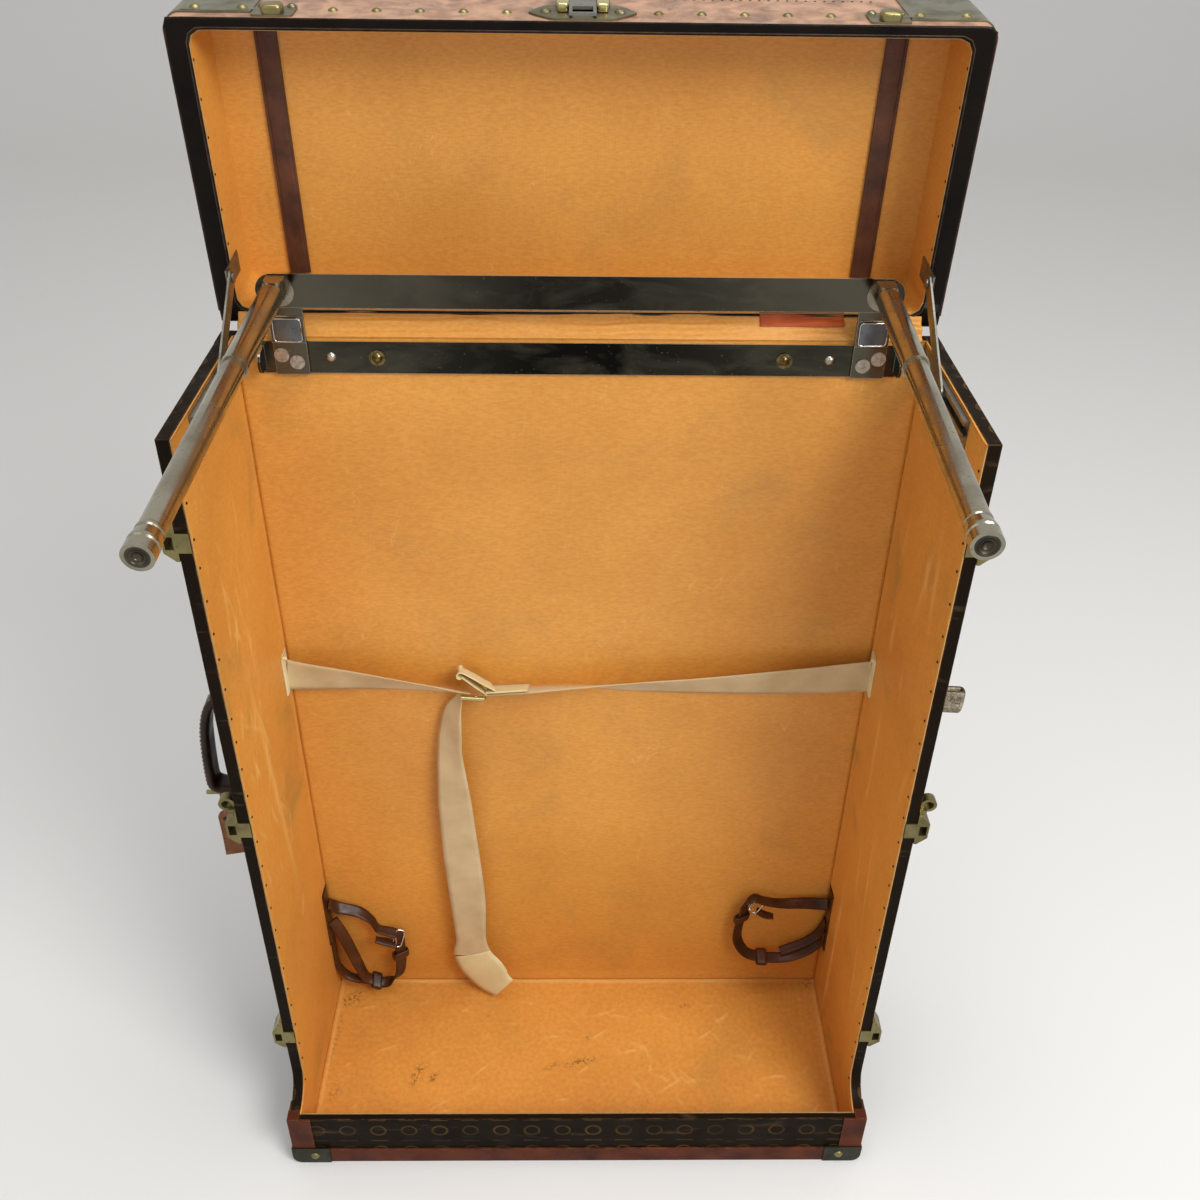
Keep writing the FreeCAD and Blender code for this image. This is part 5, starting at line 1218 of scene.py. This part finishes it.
def makeTacks():
    # Small iron tacks along the linings' free edges, and the worn pale cut edge of the cloth.
    head = dome(tacks["radius"], tacks["height"], 8)
    shapes, edgeLines = [], []
    for sign in (-1, 1):
        z = np.arange(0.083, 0.775, tacks["pitch"])
        z = z + 0.002 * np.sin(np.arange(len(z)) * 2.1)
        y = frontEdge(z) + tacks["inset"]
        places = xyz(sign * (lining["side"] - 0.0008), y, z)
        shapes.append(repeated(head, places, (-sign, 0, 0), (0, 1, 0)))
        z = np.concatenate([np.linspace(0.0712, 0.097, 26), np.linspace(0.1, 0.785, 120)])
        line = xyz(sign * (lining["side"] - 0.0001), frontEdge(z) - 0.0003, z)
        thin = 0.00028 * (1 + 0.7 * np.sin(z * 61) * np.sin(z * 173 + 1))
        edgeLines.append(tube(line, thin, 6, up=(1, 0, 0)))
    x = np.linspace(-0.2688, 0.2688, 60)
    lipTop = xyz(x, lining["lipIn"] + 0.0006, 0.0702)
    edgeLines.append(tube(lipTop, 0.00045, 6))
    piece("liningTacks", joined(*shapes), "tackIron", "trunk")
    piece("liningCutEdges", joined(*edgeLines), "cutEdge", "trunk")
    edge = tube(rimLine() + [0, 0, 0.0002], 0.0004, 6, closed=True)
    lidPiece("lidCutEdge", edge, "cutEdge")
    spots = []
    for sign in (-1, 1):
        y = np.arange(-0.083, 0.09, tacks["lidPitch"])
        side = xyz(sign * (lidRim["side"] - 0.0001), y, tacks["lidZ"])
        spots.append(repeated(head, side, (-sign, 0, 0), (0, 1, 0)))
    x = np.arange(-0.249, 0.25, tacks["lidPitch"])
    for y, way in ((lidRim["front"] + 0.0001, 1), (lidRim["back"] - 0.0001, -1)):
        row = xyz(x, y, tacks["lidZ"])
        spots.append(repeated(head, row, (0, way, 0), (1, 0, 0)))
    lidPiece("lidTacks", joined(*spots), "tackIron")


battens = {"x": 0.2265, "half": 0.008, "top": 0.844, "thick": 0.0026, "crown": 0.0006, "line": 0.0007}


def makeBattens():
    # Two leather-covered battens across the lid's top: a low crown with a pressed line near each edge.
    strips = []
    for sign in (-1, 1):
        c = np.linspace(-1, 1, 25)
        y = np.linspace(lidRim["front"] + 0.0001, 0.0997, 60)
        pressed = battens["line"] * np.exp(-(((np.abs(c) - 0.8) / 0.06) ** 2))
        crown = battens["thick"] + battens["crown"] * (1 - c**2) - pressed
        face = xyz(sign * battens["x"] + battens["half"] * c, y[:, None], battens["top"] - crown)
        strips.append(slab(face, face * [1, 1, 0] + [0, 0, 0.84405]))
    made = lidPiece("lidBattens", joined(*strips), "brownLeather")
    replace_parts(made, "lid_battens")


plate = {"face": -0.11275, "low": 0.789, "thick": 0.0015, "catchX": 0.208, "leafX": 0.249}


def plateSheet(outline, centre, count=90):
    # A flat plate on the lid's front whose lower and upper edges follow outline rows (x, low, high), mm.
    x0, low, high = flow(np.array(outline, float), count).T * mm
    v = np.linspace(0, 1, 7)
    z = plate["low"] + low[:, None] + (high - low)[:, None] * v
    x = np.repeat((centre + x0)[:, None], 7, axis=1)
    front = xyz(x, plate["face"], z)
    return slab(front, front + [0, plate["thick"], 0])


def makeLock():
    # Lock plate with leaf-shaped ends, two bright lugs and their pin; and the two catches beside it.
    right = [
        (14, 0, 35), (19, 0, 35), (22, 0.8, 34.6), (25, 3.4, 33.4), (29, 7, 29.6), (33, 11, 23.6),
        (36.8, 16.4, 17.8),
    ]
    left = [(-x, low, high) for x, low, high in right[::-1]]
    rivets = np.array([(s * 0.0255, plate["face"] + 0.0003, 0.8065) for s in (-1, 1)])
    shapes = [plateSheet(left + right, 0), repeated(dome(0.0042, 0.0026, 16), rivets, (0, -1, 0), (1, 0, 0))]
    tongue = [(-19, 20, 48), (-12, 20, 48), (0, 20, 48), (12, 20, 48), (19, 20, 48)]
    shapes.append(plateSheet(tongue, 0, 20))
    made = lidPiece("lockPlate", joined(*shapes), "plateBronze", turn=35)
    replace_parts(made, "lock_plate")
    lugs = [roundBlock((s * 0.01365, -0.1158, 0.8195), (0.0082, 0.0066, 0.033), 0.3) for s in (-1, 1)]
    pin = bar((-0.0175, -0.11545, 0.827), (0.0175, -0.11545, 0.827), 0.0016, 12)
    lidPiece("lockLugs", joined(*lugs, pin), "brightBrass", turn=50)
    plates, knobs = [], []
    for sign in (-1, 1):
        half = [(0, 0.2, 21), (6, 0.2, 24), (10, 0.2, 27), (13, 0.8, 25.6), (14, 3, 21)]
        outline = [(-x, low, high) for x, low, high in half[:0:-1]] + half
        plates.append(plateSheet(outline, sign * plate["catchX"], 40))
        middle = sign * plate["catchX"]
        rivets = np.array([(middle + s * 0.0100, plate["face"] + 0.0002, 0.811) for s in (-1, 1)])
        plates.append(repeated(dome(0.0033, 0.0024, 14), rivets, (0, -1, 0), (1, 0, 0)))
        knobs.append(roundBlock((sign * plate["catchX"], -0.1152, 0.7955), (0.0145, 0.0075, 0.0130), 0.5))
    made = lidPiece("catchPlates", joined(*plates), "plateBronze", turn=35)
    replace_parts(made, "lid_catches")
    made = lidPiece("catchKnobs", joined(*knobs), "agedBrass", turn=60)
    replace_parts(made, "lid_catches")
    leaf = [
        (-22, 12, 52), (-12, 11, 52), (-2, 10.5, 50), (8, 10, 41), (16, 10.5, 31), (23, 12, 22),
        (28, 14.5, 16),
    ]
    mirrored = [(-x, low, high) for x, low, high in leaf[::-1]]
    ends = [plateSheet(leaf, -plate["leafX"], 40), plateSheet(mirrored, plate["leafX"], 40)]
    lidPiece("capLeaves", joined(*ends), "capSteel", turn=35)
    x = np.arange(-0.205, 0.206, 0.0066)
    x = x[np.abs(x) > 0.02]
    row = xyz(x, -0.11132, 0.8475)
    stitches = repeated(stitch(0.0019, 0.0005), row, (1, 0, 0), (0, 1, 0))
    lidPiece("lidStitching", stitches, "threadDark")


makeRimBand()
makeTacks()
makeBattens()
makeLock()
print("tacks, battens and lock made")

pads = {"x": 0.225, "face": 0.0926, "z": 0.7937, "wide": 0.0215, "high": 0.0185}


def makePads():
    # A grey plate with a bright raised border at the foot of each rail upright.
    plates, borders = [], []
    for sign in (-1, 1):
        centre = (sign * pads["x"], pads["face"], pads["z"])
        plates.append(roundBlock(centre, (pads["wide"], 0.0012, pads["high"]), 0.25))
        lifted = (centre[0], pads["face"] - 0.0006, pads["z"])
        borders.append(wireLoop(lifted, (1, 0, 0), (0, 0, 1), pads["wide"], pads["high"], 0.0006, 0.25))
    piece("railPads", joined(*plates), "padSteel", "trunk", turn=40)
    piece("railPadBorders", joined(*borders), "chrome", "trunk")


arms = {"pivot": (0.2275, 0.08075, 0.8303), "length": 0.320, "swing": (2.15, 1.35), "droop": (5.4, 3.5)}


def makeDishes():
    # The hollow end of each arm's knob: a cone with two turned rings, sunk in the knob's own dish; its darker
    # steel is painted shade in the hollow.
    profile = [
        (7.2, -3.2), (7.2, 0.1), (6.9, 0.3), (6.4, 0.1), (5.8, -0.3), (5.4, -0.1), (5, -0.6), (3.6, -1.2),
        (3.2, -1.0), (2.8, -1.5), (0.5, -2.5),
    ]
    for side, sign, swing, droop in zip(("left", "right"), (-1, 1), arms["swing"], arms["droop"]):
        swing, droop = math.radians(swing), math.radians(droop)
        level = math.cos(droop)
        ahead = -np.array([math.sin(swing) * level, math.cos(swing) * level, math.sin(droop)])
        end = np.array(arms["pivot"]) * [sign, 1, 1] + ahead * arms["length"]
        shape = repeated(turnedShape(np.array(profile) * mm, 32), end[None], ahead, (1, 0, 0))
        piece("armDish_" + side, shape, "shadedDishSteel", "arm_extension_" + side, turn=40)


makePads()
makeDishes()
print("rail pads and arm dishes made")
